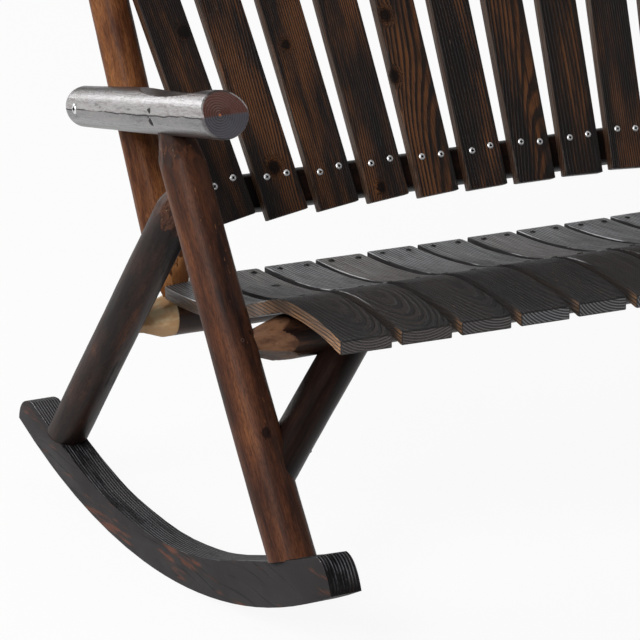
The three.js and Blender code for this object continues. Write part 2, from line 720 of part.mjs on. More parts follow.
// The corner that an end slat loses to the post that stands behind it
function postNotch(side) {
  const z = heightOn(seatTopPoints, rearRailY);
  const lowZ = heightOn(seatBottomPoints, rearRailY);
  const onPost = atHeight(mirrored(postFoot, side), mirrored(postDirection, side), lowZ);
  const above = (z - rearRailZ) / postDirection.z - rearRailRadius;
  const radius = tenonRadius + ((postRadius - tenonRadius) * above) / postFootLength + notchClearance;
  const width = 2 * postInset + overrun;
  const box = new THREE.BoxGeometry(width, seatDepth, seatDepth);
  box.translate(onPost.x - side * radius + (side * width) / 2, onPost.y - radius + seatDepth / 2, z);
  return solidOf(box);
}

function makeSeatSlat(index) {
  const outline = new THREE.Shape([
    ...seatBottomPoints,
    ...[...seatTopPoints].reverse(),
  ]);
  const [frontX, rearX] = [seatSlatX(index, seatFrontY), seatSlatX(index, seatRearY)];
  const turn = -Math.atan2(rearX - frontX, seatDepth);
  const geometry = new THREE.ExtrudeGeometry(outline, { depth: seatSlatWidth, bevelEnabled: false });
  geometry.translate(-seatFrontY, 0, -seatSlatWidth / 2);
  const frame = frameAcross(point(frontX, seatFrontY, 0), turn);
  let solid = solidOf(geometry, frame);
  if (isEndSlat(index)) solid = solid.subtract(postNotch(Math.sign(slatRank(index, seatSlatCount))));
  place(`seat_slat_${String(index + 1).padStart(2, '0')}`, solid, frame, charredBoard);
}

function makeBackSlat(index) {
  const axis = backSlatAxis(index);
  const level = crownHeight - crownDrop * (axis.rank / slatRank(backSlatCount - 1, backSlatCount)) ** 2;
  const top = (level - axis.foot.z) / axis.up.z;
  const half = backSlatWidth / 2;
  const outline = new THREE.Shape();
  outline.moveTo(-half, -backSlatTail);
  outline.lineTo(half, -backSlatTail);
  outline.lineTo(half, top - half / 2);
  outline.quadraticCurveTo(half, top, 0, top);
  outline.quadraticCurveTo(-half, top, -half, top - half / 2);
  const settings = { depth: backSlatThickness, bevelEnabled: false, curveSegments: slatArchStepCount };
  const geometry = new THREE.ExtrudeGeometry(outline, settings);
  geometry.translate(0, 0, -backSlatThickness);
  const out = new THREE.Vector3().crossVectors(axis.across, axis.up);
  const frame = new THREE.Matrix4().makeBasis(axis.across, axis.up, out).setPosition(axis.foot);
  const solid = solidOf(geometry, frame);
  place(`back_slat_${String(index + 1).padStart(2, '0')}`, solid, frame, umberBoard);
}

// Each bolt and long screw of one side, as a node of its own
function makeFasteners(side, name) {
  const fasteners = {
    front_leg_bolt: [lagBolt(frontFoot, side), bolt, blackSteel],
    rear_leg_bolt: [lagBolt(rearFoot, side), bolt, blackSteel],
    arm_bolt: [armBolt(side), bolt, silverSteel],
    front_tenon_screw: [frontLegPin(side), woodScrew, blackSteel],
    rear_tenon_screw: [rearLegPin(side), woodScrew, blackSteel],
    brace_head_screw: [braceHeadBolt(side), woodScrew, blackSteel],
    brace_foot_screw: [braceFootBolt(side), woodScrew, blackSteel],
  };
  for (const [ending, [spot, sizes, steel]] of Object.entries(fasteners)) {
    const tip = along(spot.seat, spot.direction, spot.length);
    place(`${name}_${ending}`, boltSolid(spot, sizes), frameAlong(spot.seat, tip), steel);
  }
}

for (const [side, name] of sides) {
  makeRocker(side, name);
  makeFrontLeg(side, name);
  makeRearLeg(side, name);
  makePost(side, name);
  makeArm(side, name);
  makeBrace(side, name);
  makeFasteners(side, name);
}
makeFrontRail();
makeRearRail();
makeBackRail('lower_back_rail', lowerRailMiddle, lowerFlatDistance);
makeBackRail('upper_back_rail', upperRailMiddle, upperFlatDistance);
for (let index = 0; index < seatSlatCount; index += 1) makeSeatSlat(index);
for (let index = 0; index < backSlatCount; index += 1) makeBackSlat(index);

export default bench;
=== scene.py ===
"""Looks of a two-seat rocking bench of charred logs and boards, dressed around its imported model."""

import logging
import math
from dataclasses import dataclass, field
from enum import Enum
from functools import cached_property
from typing import Any, Protocol

import bpy
from mathutils import Matrix, Vector, noise


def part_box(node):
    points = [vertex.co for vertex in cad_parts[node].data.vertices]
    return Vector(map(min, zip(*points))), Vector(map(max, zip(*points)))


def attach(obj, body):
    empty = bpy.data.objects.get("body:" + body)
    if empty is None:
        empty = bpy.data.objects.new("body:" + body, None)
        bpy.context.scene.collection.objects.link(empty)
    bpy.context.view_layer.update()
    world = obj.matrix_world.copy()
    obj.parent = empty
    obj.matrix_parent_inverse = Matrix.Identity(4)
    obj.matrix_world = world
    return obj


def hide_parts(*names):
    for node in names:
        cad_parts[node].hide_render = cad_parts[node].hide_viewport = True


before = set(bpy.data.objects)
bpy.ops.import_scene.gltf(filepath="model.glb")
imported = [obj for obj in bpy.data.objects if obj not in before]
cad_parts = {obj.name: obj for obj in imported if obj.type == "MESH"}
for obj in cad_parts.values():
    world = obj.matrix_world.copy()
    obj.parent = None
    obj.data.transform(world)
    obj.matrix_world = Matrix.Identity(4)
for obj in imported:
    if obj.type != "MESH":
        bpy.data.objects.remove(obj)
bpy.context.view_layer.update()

log = logging.getLogger("bench")

Triple = tuple[float, float, float]
Colour = Triple
Span = tuple[float, float]
BODY = "root"


class Side(Enum):
    """The two sides of the bench, as the sign of X."""

    LEFT = -1
    RIGHT = 1

    def of(self, point: Vector) -> Vector:
        """Returns a right-hand point as it lies on this side."""
        return Vector((self.value * point.x, point.y, point.z))

    @property
    def word(self) -> str:
        """Returns the side's name as the CAD nodes have it."""
        return self.name.lower()


class Mark(Enum):
    """The attributes that the meshes hand to the materials."""

    GRAIN = "grain"
    PIECE = "piece"
    END = "end"
    WHITTLED = "whittled"


def new_object(name: str, data: bpy.types.ID) -> bpy.types.Object:
    """Returns a new object that is linked to the scene."""
    made = bpy.data.objects.new(name, data)
    bpy.context.scene.collection.objects.link(made)
    return made


# ---- node trees


@dataclass(frozen=True)
class Cloud:
    """A noise whose cells are longer one way than another.

    Attributes:
        across: Its cells in a metre across the grain.
        through: Its cells in a metre through the piece.
        along: Its cells in a metre along the grain.
        detail: How many finer layers it has.
        rough: How strong the finer layers are.
    """

    across: float
    through: float
    along: float
    detail: float
    rough: float


@dataclass(frozen=True)
class Signal:
    """A graph's output socket in Python arithmetic, each step of which adds a Math node."""

    graph: "Graph"
    socket: bpy.types.NodeSocket

    def math(self, operation: str, *others: Any) -> "Signal":
        """Adds one Math node on this socket.

        Args:
            operation: The Math node's operation.
            others: The values or signals of its other inputs.

        Returns:
            The node's result.
        """
        inputs = dict(enumerate((self, *others)))
        return self.graph.add("ShaderNodeMath", {"operation": operation}, inputs)

    def __add__(self, other: Any) -> "Signal":
        """Returns the sum."""
        return self.math("ADD", other)

    __radd__ = __add__

    def __mul__(self, other: Any) -> "Signal":
        """Returns the product."""
        return self.math("MULTIPLY", other)

    __rmul__ = __mul__

    def __sub__(self, other: Any) -> "Signal":
        """Returns the difference."""
        return self.math("SUBTRACT", other)

    def __rsub__(self, other: float) -> "Signal":
        """Returns the difference from a number."""
        return self.graph.add("ShaderNodeMath", {"operation": "SUBTRACT"}, {0: other, 1: self})

    def __truediv__(self, other: Any) -> "Signal":
        """Returns the quotient."""
        return self.math("DIVIDE", other)

    def __pow__(self, other: float) -> "Signal":
        """Returns the power."""
        return self.math("POWER", other)

    def __abs__(self) -> "Signal":
        """Returns the size without its sign."""
        return self.math("ABSOLUTE")

    def ramp(self, low: float, high: float) -> "Signal":
        """Returns a smooth step from 0 at low to 1 at high."""
        settings = {"interpolation_type": "SMOOTHSTEP"}
        inputs = {"Value": self, "From Min": low, "From Max": high}
        return self.graph.add("ShaderNodeMapRange", settings, inputs)

    def wave(self, length: float) -> "Signal":
        """Returns a sine wave over this distance, with a wave of a length in metres."""
        return (self * (math.tau / length)).math("SINE")

    def part(self, axis: str) -> "Signal":
        """Returns one part of a vector: X, Y or Z."""
        return self.graph.add("ShaderNodeSeparateXYZ", {}, {0: self}, axis)

    def parts(self) -> tuple["Signal", "Signal", "Signal"]:
        """Returns the three parts of a vector."""
        return self.part("X"), self.part("Y"), self.part("Z")


@dataclass(frozen=True)
class Graph:
    """A node tree that is built one node at a time."""

    tree: bpy.types.NodeTree

    @classmethod
    def emptied(cls, owner: bpy.types.Material | bpy.types.World) -> "Graph":
        """Returns the graph of a material or a world, with its usual nodes taken out."""
        owner.use_nodes = True
        owner.node_tree.nodes.clear()
        return cls(owner.node_tree)

    def add(self, kind: str, settings: dict[str, Any] | None = None,
            inputs: dict[Any, Any] | None = None, output: str | int = 0) -> Signal:
        """Adds a node.

        Args:
            kind: The node's type.
            settings: Its properties, and the stops of a colour ramp.
            inputs: A value or a signal for each input, by name or by place.
            output: The name or the place of the output that is wanted.

        Returns:
            That output.
        """
        node = self.tree.nodes.new(kind)
        for name, value in (settings or {}).items():
            if name == "stops":
                self._set_stops(node.color_ramp, value)
            else:
                setattr(node, name, value)
        for name, value in (inputs or {}).items():
            socket = self._pick(node.inputs, name)
            if isinstance(value, Signal):
                self.tree.links.new(value.socket, socket)
            else:
                socket.default_value = value
        return Signal(self, self._pick(node.outputs, output))

    @staticmethod
    def _pick(sockets: Any, name: str | int) -> bpy.types.NodeSocket:
        """Returns the enabled socket that has a name or a place."""
        live = [socket for socket in sockets if socket.enabled]
        if isinstance(name, int):
            return live[name]
        return next(socket for socket in live if socket.name == name)

    @staticmethod
    def _set_stops(ramp: bpy.types.ColorRamp, stops: list[tuple[float, Colour]]) -> None:
        """Gives a colour ramp its stops.

        Args:
            ramp: The colour ramp.
            stops: The position and the colour of each stop.
        """
        while len(ramp.elements) < len(stops):
            ramp.elements.new(1.0)
        for element, (position, colour) in zip(ramp.elements, stops):
            element.position = position
            element.color = (*colour, 1.0)

    def vector(self, x: Any, y: Any, z: Any) -> Signal:
        """Returns a vector of three parts."""
        return self.add("ShaderNodeCombineXYZ", {}, {0: x, 1: y, 2: z})

    def sum_of(self, first: Signal, second: Any) -> Signal:
        """Returns the sum of two vectors."""
        return self.add("ShaderNodeVectorMath", {"operation": "ADD"}, {0: first, 1: second})

    def scaled(self, vector: Signal, x: float, y: float, z: float) -> Signal:
        """Returns a vector with each part scaled."""
        settings = {"operation": "MULTIPLY"}
        return self.add("ShaderNodeVectorMath", settings, {0: vector, 1: (x, y, z)})

    def mix(self, factor: Any, first: Any, second: Any) -> Signal:
        """Returns a blend of two colours, all of it the second where the factor is 1."""
        first, second = (c if isinstance(c, Signal) else (*c, 1.0) for c in (first, second))
        inputs = {"Factor": factor, "A": first, "B": second}
        return self.add("ShaderNodeMix", {"data_type": "RGBA"}, inputs)

    def grey(self, value: Signal) -> Signal:
        """Returns a number as a grey colour."""
        return self.add("ShaderNodeCombineColor", {}, {0: value, 1: value, 2: value})

    def mark(self, mark: Mark) -> Signal:
        """Returns a mark of the mesh: the grain as a vector, any other as a number."""
        output = "Vector" if mark is Mark.GRAIN else "Fac"
        return self.add("ShaderNodeAttribute", {"attribute_name": mark.value}, {}, output)

    def clouds(self, place: Signal, cloud: Cloud) -> Signal:
        """Returns a noise at a place."""
        spot = self.scaled(place, cloud.across, cloud.through, cloud.along)
        inputs = {"Vector": spot, "Scale": 1.0, "Detail": cloud.detail, "Roughness": cloud.rough}
        return self.add("ShaderNodeTexNoise", {}, inputs)

    def ray(self, kind: str) -> Signal:
        """Returns whether a ray is of a kind: Camera, Glossy or Transmission."""
        return self.add("ShaderNodeLightPath", {}, {}, f"Is {kind} Ray")

    def end(self, kind: str, result: Signal) -> None:
        """Ends the tree in an output node.

        Args:
            kind: The output node's type.
            result: What its first input takes.
        """
        self.tree.links.new(result.socket, self.tree.nodes.new(kind).inputs[0])


# ---- finishes


Look = tuple[Signal, Signal, Signal]


@dataclass(frozen=True)
class Knot:
    """A knot, at its place in a piece's own grain frame.

    Attributes:
        piece: The piece's number.
        place: Across, through and along the grain, in metres.
        radius: The radius of its dark heart.
    """

    piece: float
    place: Triple
    radius: float


@dataclass(frozen=True)
class Wood:
    """What boards and logs share: charred timber whose grain stands proud.

    Attributes:
        name: The material's name.
        dark: The char.
        body: The usual tone.
        warm: The tone of the brushed streaks.
        bare: The tone of whittled or sawn faces.
        relief: The height of the raised grain, in metres.
        gloss: The roughness where the surface is smoothest.
        matt: The roughness where the surface has had the most wear.
        shine: The strength of its reflections.
        coat: The weight of a clear oil coat's own gloss.
        coat_rough: The roughness of that coat.
        knots: The knots that show.
    """

    name: str
    dark: Colour
    body: Colour
    warm: Colour
    bare: Colour
    relief: float = 0.0004
    gloss: float = 0.4
    matt: float = 0.6
    shine: float = 0.1
    coat: float = 0.0
    coat_rough: float = 0.26
    knots: tuple[Knot, ...] = ()

    APART = (3.71, 1.93, 5.37)
    KNOT_EDGE = Cloud(500, 500, 300, 2, 0.5)
    KNOT_REACH = 3.6
    KNOT_LENGTH = 0.8
    OTHER_PIECE = 40.0

    def material(self) -> bpy.types.Material:
        """Returns the material, newly made."""
        material = bpy.data.materials.new(self.name)
        graph = Graph.emptied(material)
        colour, rough, height = self.look(graph)
        bump = {"Strength": 1.0, "Distance": self.relief, "Height": height}
        sound = 1.0 - self.flaws(graph)
        graph.end("ShaderNodeOutputMaterial", graph.add("ShaderNodeBsdfPrincipled", {}, {
            "Base Color": colour, "Roughness": 1.0 - sound * (1.0 - rough),
            "Normal": graph.add("ShaderNodeBump", {}, bump),
            "Coat Weight": sound * self.coat, "Coat Roughness": self.coat_rough,
            "Specular IOR Level": self.shine,
        }))
        return material

    def look(self, graph: Graph) -> Look:
        """Builds the colour, the roughness and the height of the surface."""
        raise NotImplementedError

    def flaws(self, graph: Graph) -> Signal:
        """Returns where knots and cracks take the gloss away, as 1."""
        return self.knot_field(graph).ramp(0.2, 0.5)

    def own_place(self, graph: Graph) -> Signal:
        """Returns the place in the grain frame, moved apart for each piece."""
        piece = graph.mark(Mark.PIECE)
        apart = graph.vector(*(piece * step for step in self.APART))
        return graph.sum_of(graph.mark(Mark.GRAIN), apart)

    def roughness(self, wear: Signal) -> Signal:
        """Returns the roughness for a wear from 0, smoothest, to 1."""
        return self.gloss + (self.matt - self.gloss) * wear

    def knot_field(self, graph: Graph) -> Signal:
        """Joins the knots into one field that is 1 at a heart and falls off round it.

        Args:
            graph: The material's graph.

        Returns:
            The field.
        """
        piece = graph.mark(Mark.PIECE)
        total = piece * 0.0
        for knot in self.knots:
            offset = graph.sum_of(graph.mark(Mark.GRAIN), tuple(-part for part in knot.place))
            flat = graph.scaled(offset, 1.0, 1.0, self.KNOT_LENGTH)
            away = graph.add("ShaderNodeVectorMath", {"operation": "LENGTH"}, {0: flat}, "Value")
            away = away * (0.6 + 0.8 * graph.clouds(offset, self.KNOT_EDGE))
            other = abs(piece - knot.piece) * self.OTHER_PIECE
            field_here = 1.0 - (away / knot.radius + other).ramp(0.0, self.KNOT_REACH)
            total = total.math("MAXIMUM", field_here)
        return total


@dataclass(frozen=True)
class LogWood(Wood):
    """A peeled log: long streaks, fine fibres, light flecks and soft char patches.

    Attributes:
        char: The share of the surface that the char darkens, from 0 to 1.
        scorch: How far the char reaches over whittled parts, from 0 to 1.
        flecks: How strongly small light flecks show.
        film: How strongly a painted reflection, a pale sheen, shows on the log's two sides, and how
            strongly the drying crack along their middle shows.
        dusk: The distances from its start between which the log grows darker, if it does.
        fresh: The two tones of whittled wood, or none for the log's own warm and bare tones.
    """

    char: float = 0.4
    scorch: float = 0.3
    flecks: float = 0.3
    film: float = 0.0
    dusk: Span | None = None
    fresh: tuple[Colour, ...] = ()

    STREAK = Cloud(38, 38, 7, 6, 0.62)
    FIBRE = Cloud(360, 360, 11, 4, 0.66)
    PATCH = Cloud(19, 19, 8, 6, 0.64)
    FLECK = Cloud(260, 260, 95, 2, 0.5)
    HAIR = Cloud(800, 800, 130, 3, 0.7)
    GRIT = Cloud(120, 120, 40, 4, 0.62)
    GOUGE = Cloud(30, 30, 17, 4, 0.6)
    WEAR = Cloud(90, 90, 14, 4, 0.66)
    SCUFF = Cloud(420, 420, 60, 3, 0.6)
    WANDER = Cloud(12, 12, 16, 2, 0.5)
    SHAKE = Cloud(30, 30, 150, 3, 0.6)
    OPENING = Cloud(20, 20, 26, 2, 0.5)
    CARVED_FLECK = (0.55, 0.36, 0.2)
    # Tones of the painted reflection on the two sides: below the crack, above it, and where it is
    # scuffed.
    FILM_BELOW = (0.052, 0.05, 0.053)
    FILM_ABOVE = (0.29, 0.272, 0.272)
    FILM_SCUFF = (0.12, 0.09, 0.09)
    CRACK = (0.006, 0.005, 0.005)
    END_BELOW = (0.07, 0.066, 0.078)
    END_ABOVE = (0.085, 0.026, 0.017)
    PITH = (0.36, 0.12, 0.045)
    PITH_OFFSET = (-0.007, 0.001)
    RING_PACE = 2350.0

    def look(self, graph: Graph) -> Look:
        """Builds the look of a log's sides, whittled parts and ends.

        Args:
            graph: The material's graph.

        Returns:
            The colour, the roughness and the height.
        """
        own = self.own_place(graph)
        knots = self.knot_field(graph)
        streak, fibre = graph.clouds(own, self.STREAK), graph.clouds(own, self.FIBRE)
        patch, hairs = graph.clouds(own, self.PATCH), graph.clouds(own, self.HAIR)
        flecks = graph.clouds(own, self.FLECK).ramp(0.67, 0.75) * self.flecks
        carved = graph.mark(Mark.WHITTLED)
        tone = graph.add("ShaderNodeValToRGB", {"stops": [
            (0.36, self.dark), (0.46, self.body), (0.58, self.warm), (0.74, self.bare),
        ]}, {"Fac": streak * 0.8 + fibre * 0.2})
        least = 0.7 - self.char * 0.4
        charred = (patch + (fibre - 0.5) * 0.3).ramp(least, least + 0.14)
        colour = graph.mix(charred * 0.9, tone, self.dark)
        colour = graph.mix(flecks * patch.ramp(0.45, 0.6), colour, self.bare)
        colour = self._carve(graph, own, colour)
        colour = graph.mix(flecks * carved, colour, self.CARVED_FLECK)
        colour = graph.mix(hairs.ramp(0.42, 0.64) * (1.0 - carved) * 0.5, colour, self.dark)
        if self.dusk:
            along = graph.mark(Mark.GRAIN).part("Z")
            colour = graph.mix(along.ramp(*self.dusk) * 0.6, colour, self.dark)
        colour, film = self._cover(graph, own, colour)
        ring, colour = self._close(graph, patch, colour)
        colour = graph.mix(knots.ramp(0.2, 0.62) * 0.94, colour, self.dark)
        height = fibre * 0.6 + streak * 0.3 + ring * 0.3 + hairs * 0.3
        height = height + knots * 2.4 - knots.ramp(0.74, 1.0) * 3.4
        rough = self.roughness(fibre.ramp(0.3, 0.7) * 0.6 + charred * 0.4)
        return colour, rough - film * 0.12, height

    def _carve(self, graph: Graph, own: Signal, colour: Signal) -> Signal:
        """Lays bare the whittled parts, with scorched gouges in them.

        Args:
            graph: The material's graph.
            own: The piece's own place.
            colour: The colour so far.

        Returns:
            The new colour.
        """
        grit, gouge = graph.clouds(own, self.GRIT), graph.clouds(own, self.GOUGE)
        tones = self.fresh or (self.warm, self.bare)
        fresh = graph.mix((gouge + (grit - 0.5) * 0.5).ramp(0.4, 0.62), *tones)
        least = 0.63 - self.scorch * 0.26
        burnt = (grit * 0.45 + gouge * 0.55).ramp(least, least + 0.07)
        fresh = graph.mix(burnt * 0.85, fresh, self.dark)
        edge = graph.mark(Mark.WHITTLED) + (gouge - 0.5) * 0.1
        return graph.mix(edge.ramp(0.38, 0.62), colour, fresh)

    def _cover(self, graph: Graph, own: Signal, colour: Signal) -> tuple[Signal, Any]:
        """Paints a reflection, a pale sheen, over the log's two sides, with a drying crack along the
        middle.

        Args:
            graph: The material's graph.
            own: The piece's own place.
            colour: The colour so far.

        Returns:
            The new colour, and where the painted sheen lies.
        """
        if not self.film:
            return colour, 0.0
        x, y, _ = graph.mark(Mark.GRAIN).parts()
        facing = abs(x) / (x * x + y * y + 1e-9) ** 0.5
        worn, scuff = graph.clouds(own, self.WEAR), graph.clouds(own, self.SCUFF)
        whole = (worn + (scuff - 0.5) * 0.5).ramp(0.28, 0.46)
        kept = 1.0 - graph.mark(Mark.WHITTLED).ramp(0.1, 0.5)
        # Painted reflection: a pale sheen on the two sides, paler above the crack than below it,
        # stands in for reflected light.
        film = facing.ramp(0.42, 0.62) * whole * self.film * kept * y.ramp(-0.021, -0.013)
        above = (y + (worn - 0.5) * 0.004).ramp(-0.0012, 0.0008)
        pale = graph.mix(above, self.FILM_BELOW, self.FILM_ABOVE)
        scuffed = (scuff * 0.6 + worn * 0.4).ramp(0.45, 0.62) * 0.85
        colour = graph.mix(film, colour, graph.mix(scuffed, pale, self.FILM_SCUFF))
        return graph.mix(self._crack(graph) * 0.95, colour, self.CRACK), film

    def _crack(self, graph: Graph) -> Signal:
        """Returns where the drying crack along the middle of the two sides gapes, as 1.

        Args:
            graph: The material's graph.
        """
        own = self.own_place(graph)
        wander, shake = graph.clouds(own, self.WANDER) - 0.5, graph.clouds(own, self.SHAKE) - 0.5
        y = graph.mark(Mark.GRAIN).part("Y")
        away = abs(y + wander * 0.006 + shake * 0.002 + 0.0008)
        opening = graph.clouds(own, self.OPENING).ramp(0.3, 0.5)
        gap = 1.0 - (away - opening * 0.0004).ramp(0.0001, 0.0006)
        return gap * (opening * 0.5 + 0.35) * self.film

    def flaws(self, graph: Graph) -> Signal:
        """Returns where knots and cracks take the gloss away, as 1."""
        knots = super().flaws(graph)
        return knots.math("MAXIMUM", self._crack(graph)) if self.film else knots

    def _close(self, graph: Graph, patch: Signal, colour: Signal) -> tuple[Signal, Signal]:
        """Draws the growth rings on the sawn ends.

        Args:
            graph: The material's graph.
            patch: The noise that makes the rings uneven.
            colour: The colour so far.

        Returns:
            The rings' height, and the new colour.
        """
        across, through, _ = graph.mark(Mark.GRAIN).parts()
        end = graph.mark(Mark.END)
        x, y = across - self.PITH_OFFSET[0], through - self.PITH_OFFSET[1]
        radius = (x * x + y * y) ** 0.5
        ring = ((radius + (patch - 0.5) * 0.006) * self.RING_PACE).math("SINE")
        upper = (through + (patch - 0.5) * 0.003).ramp(-0.001, 0.002)
        face = graph.mix(upper, self.END_BELOW, self.END_ABOVE)
        contrast = 0.68 - radius.ramp(0.004, 0.02) * 0.34
        face = graph.mix(ring.ramp(-0.4, 0.9) * contrast, face, self.dark)
        face = graph.mix(1.0 - radius.ramp(0.0006, 0.0019), face, self.PITH)
        return ring * end, graph.mix(end, colour, face)


@dataclass(frozen=True)
class BoardFields:
    """What the steps of a board's look share.

    Attributes:
        own: The place in the grain frame, moved apart for each piece.
        x, y, z: The place across, through and along the board.
        chances: Three numbers from 0 to 1 that differ from board to board.
        warp: How the rings wander, about 0.
        fuzz: The fibres, about 0.
    """

    own: Signal
    x: Signal
    y: Signal
    z: Signal
    piece: Signal
    chances: tuple[Signal, Signal, Signal]
    knots: Signal
    warp: Signal
    fibre: Signal
    fuzz: Signal
    patch: Signal
    end: Signal
    sideways: Signal
    upward: Signal


@dataclass(frozen=True)
class BoardWood(Wood):
    """A charred and brushed board: latewood ridges between earlywood that wear has taken down.

    Attributes:
        ring: The growth rings' spacing, in metres.
        char: The share of the surface that stays charred, from 0 to 1.
        pith: The usual distance of the pith, across and through the board, in metres.
        spread: How far the pith's place varies between boards.
        side_bare: How far the sawn sides show the bare tone, from 0 to 1.
        burnt_edge: How far the char thickens towards both edges, from 0 to 1.
        half_width: Half of the board's width, in metres.
        shifts: The numbers of some pieces, each with how much lighter it is.
        glow: The tone of rusty streaks on the sawn sides, or none.
        cut: The tone of the sawn ends between their rings.
        warp: How far the rings wander, in metres.
        worn: How strongly the upper edges carry a painted highlight, a bright glint, and the sides
            hidden between slats carry painted shade, from 0 to 1.
        silver: How strongly a painted highlight, a silvery sheen, lies on the top's upward ridges,
            and how often sawn ends turn blue-grey, from 0 to 1.
        silver_start: The distance along the board where that painted highlight begins, in metres.
        vary: How much the rings' spacing differs between boards, as a share.
        straight: The distances along the board between which its rings turn into lines, if any.
        fuzz: How far the fibres blur the rings, in radians.
        layers: How often the fibres change through the board, in cells a metre.
    """

    ring: float = 0.003
    char: float = 0.5
    pith: Span = (0.0, 0.0)
    spread: Span = (0.2, 0.05)
    side_bare: float = 0.0
    burnt_edge: float = 0.0
    half_width: float = 0.03
    shifts: tuple[Span, ...] = ()
    glow: Colour | None = None
    cut: Colour = (0.115, 0.092, 0.088)
    warp: float = 0.02
    worn: float = 0.0
    silver: float = 0.0
    silver_start: float = 0.2
    vary: float = 0.0
    straight: Span | None = None
    fuzz: float = 2.6
    layers: float = 120.0

    WARP = Cloud(8, 8, 2.6, 2, 0.5)
    PATCH = Cloud(24, 24, 3.4, 5, 0.64)
    FLAKE = Cloud(300, 300, 60, 2, 0.5)
    RUST = Cloud(20, 70, 11, 4, 0.6)
    SWEEP = Cloud(6, 8, 4, 1, 0.45)
    # Tones of the painted highlight on the upward ridges.
    BROWN_SHEEN = (0.15, 0.115, 0.095)
    BLUE_SHEEN = (0.26, 0.275, 0.3)
    BLUE_CUT = (0.24, 0.25, 0.265)
    # Painted highlight: the tone of the glints on the rounded upper edges.
    WORN_EDGE = (0.75, 0.75, 0.77)
    OUTERMOST = 6.9
    ARC_SPACING = 0.013

    def look(self, graph: Graph) -> Look:
        """Builds the look of a board's faces, edges and ends.

        Args:
            graph: The material's graph.

        Returns:
            The colour, the roughness and the height.
        """
        f = self._fields(graph)
        side = f.sideways.ramp(0.6, 0.95) * self.side_bare
        late = self._rings(f).ramp(-0.55, 0.7)
        if self.glow:
            late = late * (1.0 - side) + side * 0.5
        colour = self._face(graph, f, late)
        # Inner slats show their sawn sides only in patches near the front; elsewhere those sides lie
        # hidden between slats and get painted shade.
        bare_front = f.patch.ramp(0.36, 0.5) * (1.0 - f.z.ramp(0.002, 0.02)) * 0.5 + 0.04
        outer = bare_front.math("MAXIMUM", (abs(f.piece) - self.OUTERMOST).ramp(0.0, 0.05))
        hidden = side * (1.0 - outer)
        height = late * 0.72 + f.fibre * 0.28 + f.knots * 0.5
        if self.glow:
            sawn, arcs = self._rusty_side(graph, f)
            height = height - arcs * side * 0.35
        else:
            sawn = self._banded_side(graph, f)
            # Painted shade on the sides hidden between slats.
            colour = graph.mix(hidden * self.worn, colour, self.dark)
        colour = graph.mix(side * outer, colour, sawn)
        colour = self._finish_edges(graph, f, late, colour)
        wear = (1.0 - late * 0.5) * f.fibre.ramp(0.2, 0.8)
        rough = self.roughness(wear) + hidden * self.worn * 0.4
        return colour, rough.math("MINIMUM", 1.0), height

    def _fields(self, graph: Graph) -> BoardFields:
        """Returns what the steps of the look share.

        Args:
            graph: The material's graph.
        """
        own, piece = self.own_place(graph), graph.mark(Mark.PIECE)
        x, y, z = graph.mark(Mark.GRAIN).parts()
        settings, inputs = {"noise_dimensions": "1D"}, {"W": piece + 0.37}
        chance = graph.add("ShaderNodeTexWhiteNoise", settings, inputs, "Color")
        normal = graph.add("ShaderNodeNewGeometry", {}, {}, "Normal")
        fibre = graph.clouds(own, Cloud(420, self.layers, 13, 4, 0.66))
        return BoardFields(
            own, x, y, z, piece, chance.parts(), self.knot_field(graph),
            graph.clouds(own, self.WARP) - 0.5, fibre, fibre - 0.5, graph.clouds(own, self.PATCH),
            graph.mark(Mark.END), abs(normal.part("X")), normal.part("Z"),
        )

    def _rings(self, f: BoardFields) -> Signal:
        """Returns the growth rings that the board was sawn from, as a wave from -1 to 1.

        Args:
            f: The board's fields.
        """
        first, second, third = f.chances
        tilt = (third - 0.5) * 0.09 * f.z
        across = f.x - self.pith[0] - (first - 0.5) * self.spread[0] - tilt
        depth = f.y - self.pith[1] + 0.01 + second * self.spread[1] - (first - 0.5) * 0.07 * f.z
        wander = f.warp * self.warp
        radius = (across * across + depth * depth) ** 0.5 + wander + f.knots * 0.011 - self.pith[1]
        if self.straight:
            lines = f.z.ramp(*self.straight) * (1.0 - f.end)
            radius = radius * (1.0 - lines) + (across * 0.7 + wander) * lines
        pace = (1.0 + (third - 0.5) * self.vary) * (math.tau / self.ring)
        blur = f.fuzz * (self.fuzz - f.end * self.fuzz * 0.6)
        return (radius * pace + blur).math("SINE")

    def _face(self, graph: Graph, f: BoardFields, late: Signal) -> Signal:
        """Colours the brushed faces: rings, char and a painted highlight on the upward ridges.

        Args:
            graph: The material's graph.
            f: The board's fields.
            late: Where the dark part of a ring is, as 1.

        Returns:
            The colour.
        """
        second = f.chances[1]
        colour = graph.mix((f.patch + f.fuzz * 0.5).ramp(0.38, 0.62), self.body, self.warm)
        colour = graph.mix(late * 0.93, colour, self.dark)
        rim = (abs(f.x) / self.half_width).ramp(0.55, 1.0) * self.burnt_edge
        light = f.patch + (second - 0.5) * 0.2 + f.fuzz * 0.4 - rim * 0.14
        for number, lighter in self.shifts:
            light = light + (1.0 - abs(f.piece - number).ramp(0.2, 0.4)) * lighter
        cover = 1.0 - light.ramp(self.char - 0.14, self.char + 0.08)
        colour = graph.mix(cover * 0.9, colour, self.dark)
        # Painted highlight: silvery brown or blue tones on the upward-facing ridges stand in for
        # reflected light.
        ridge = late.ramp(0.5, 1.0) * (f.patch + f.fuzz * 0.6).ramp(0.36, 0.54)
        ridge = ridge * f.upward.ramp(0.3, 0.6) * (f.z - self.silver_start).ramp(0.0, 0.12)
        ridge_highlight = graph.mix(second.ramp(0.35, 0.65), self.BROWN_SHEEN, self.BLUE_SHEEN)
        colour = graph.mix(ridge * self.silver, colour, ridge_highlight)
        flake = graph.clouds(f.own, self.FLAKE).ramp(0.7, 0.78)
        return graph.mix(flake * 0.35, colour, self.bare)

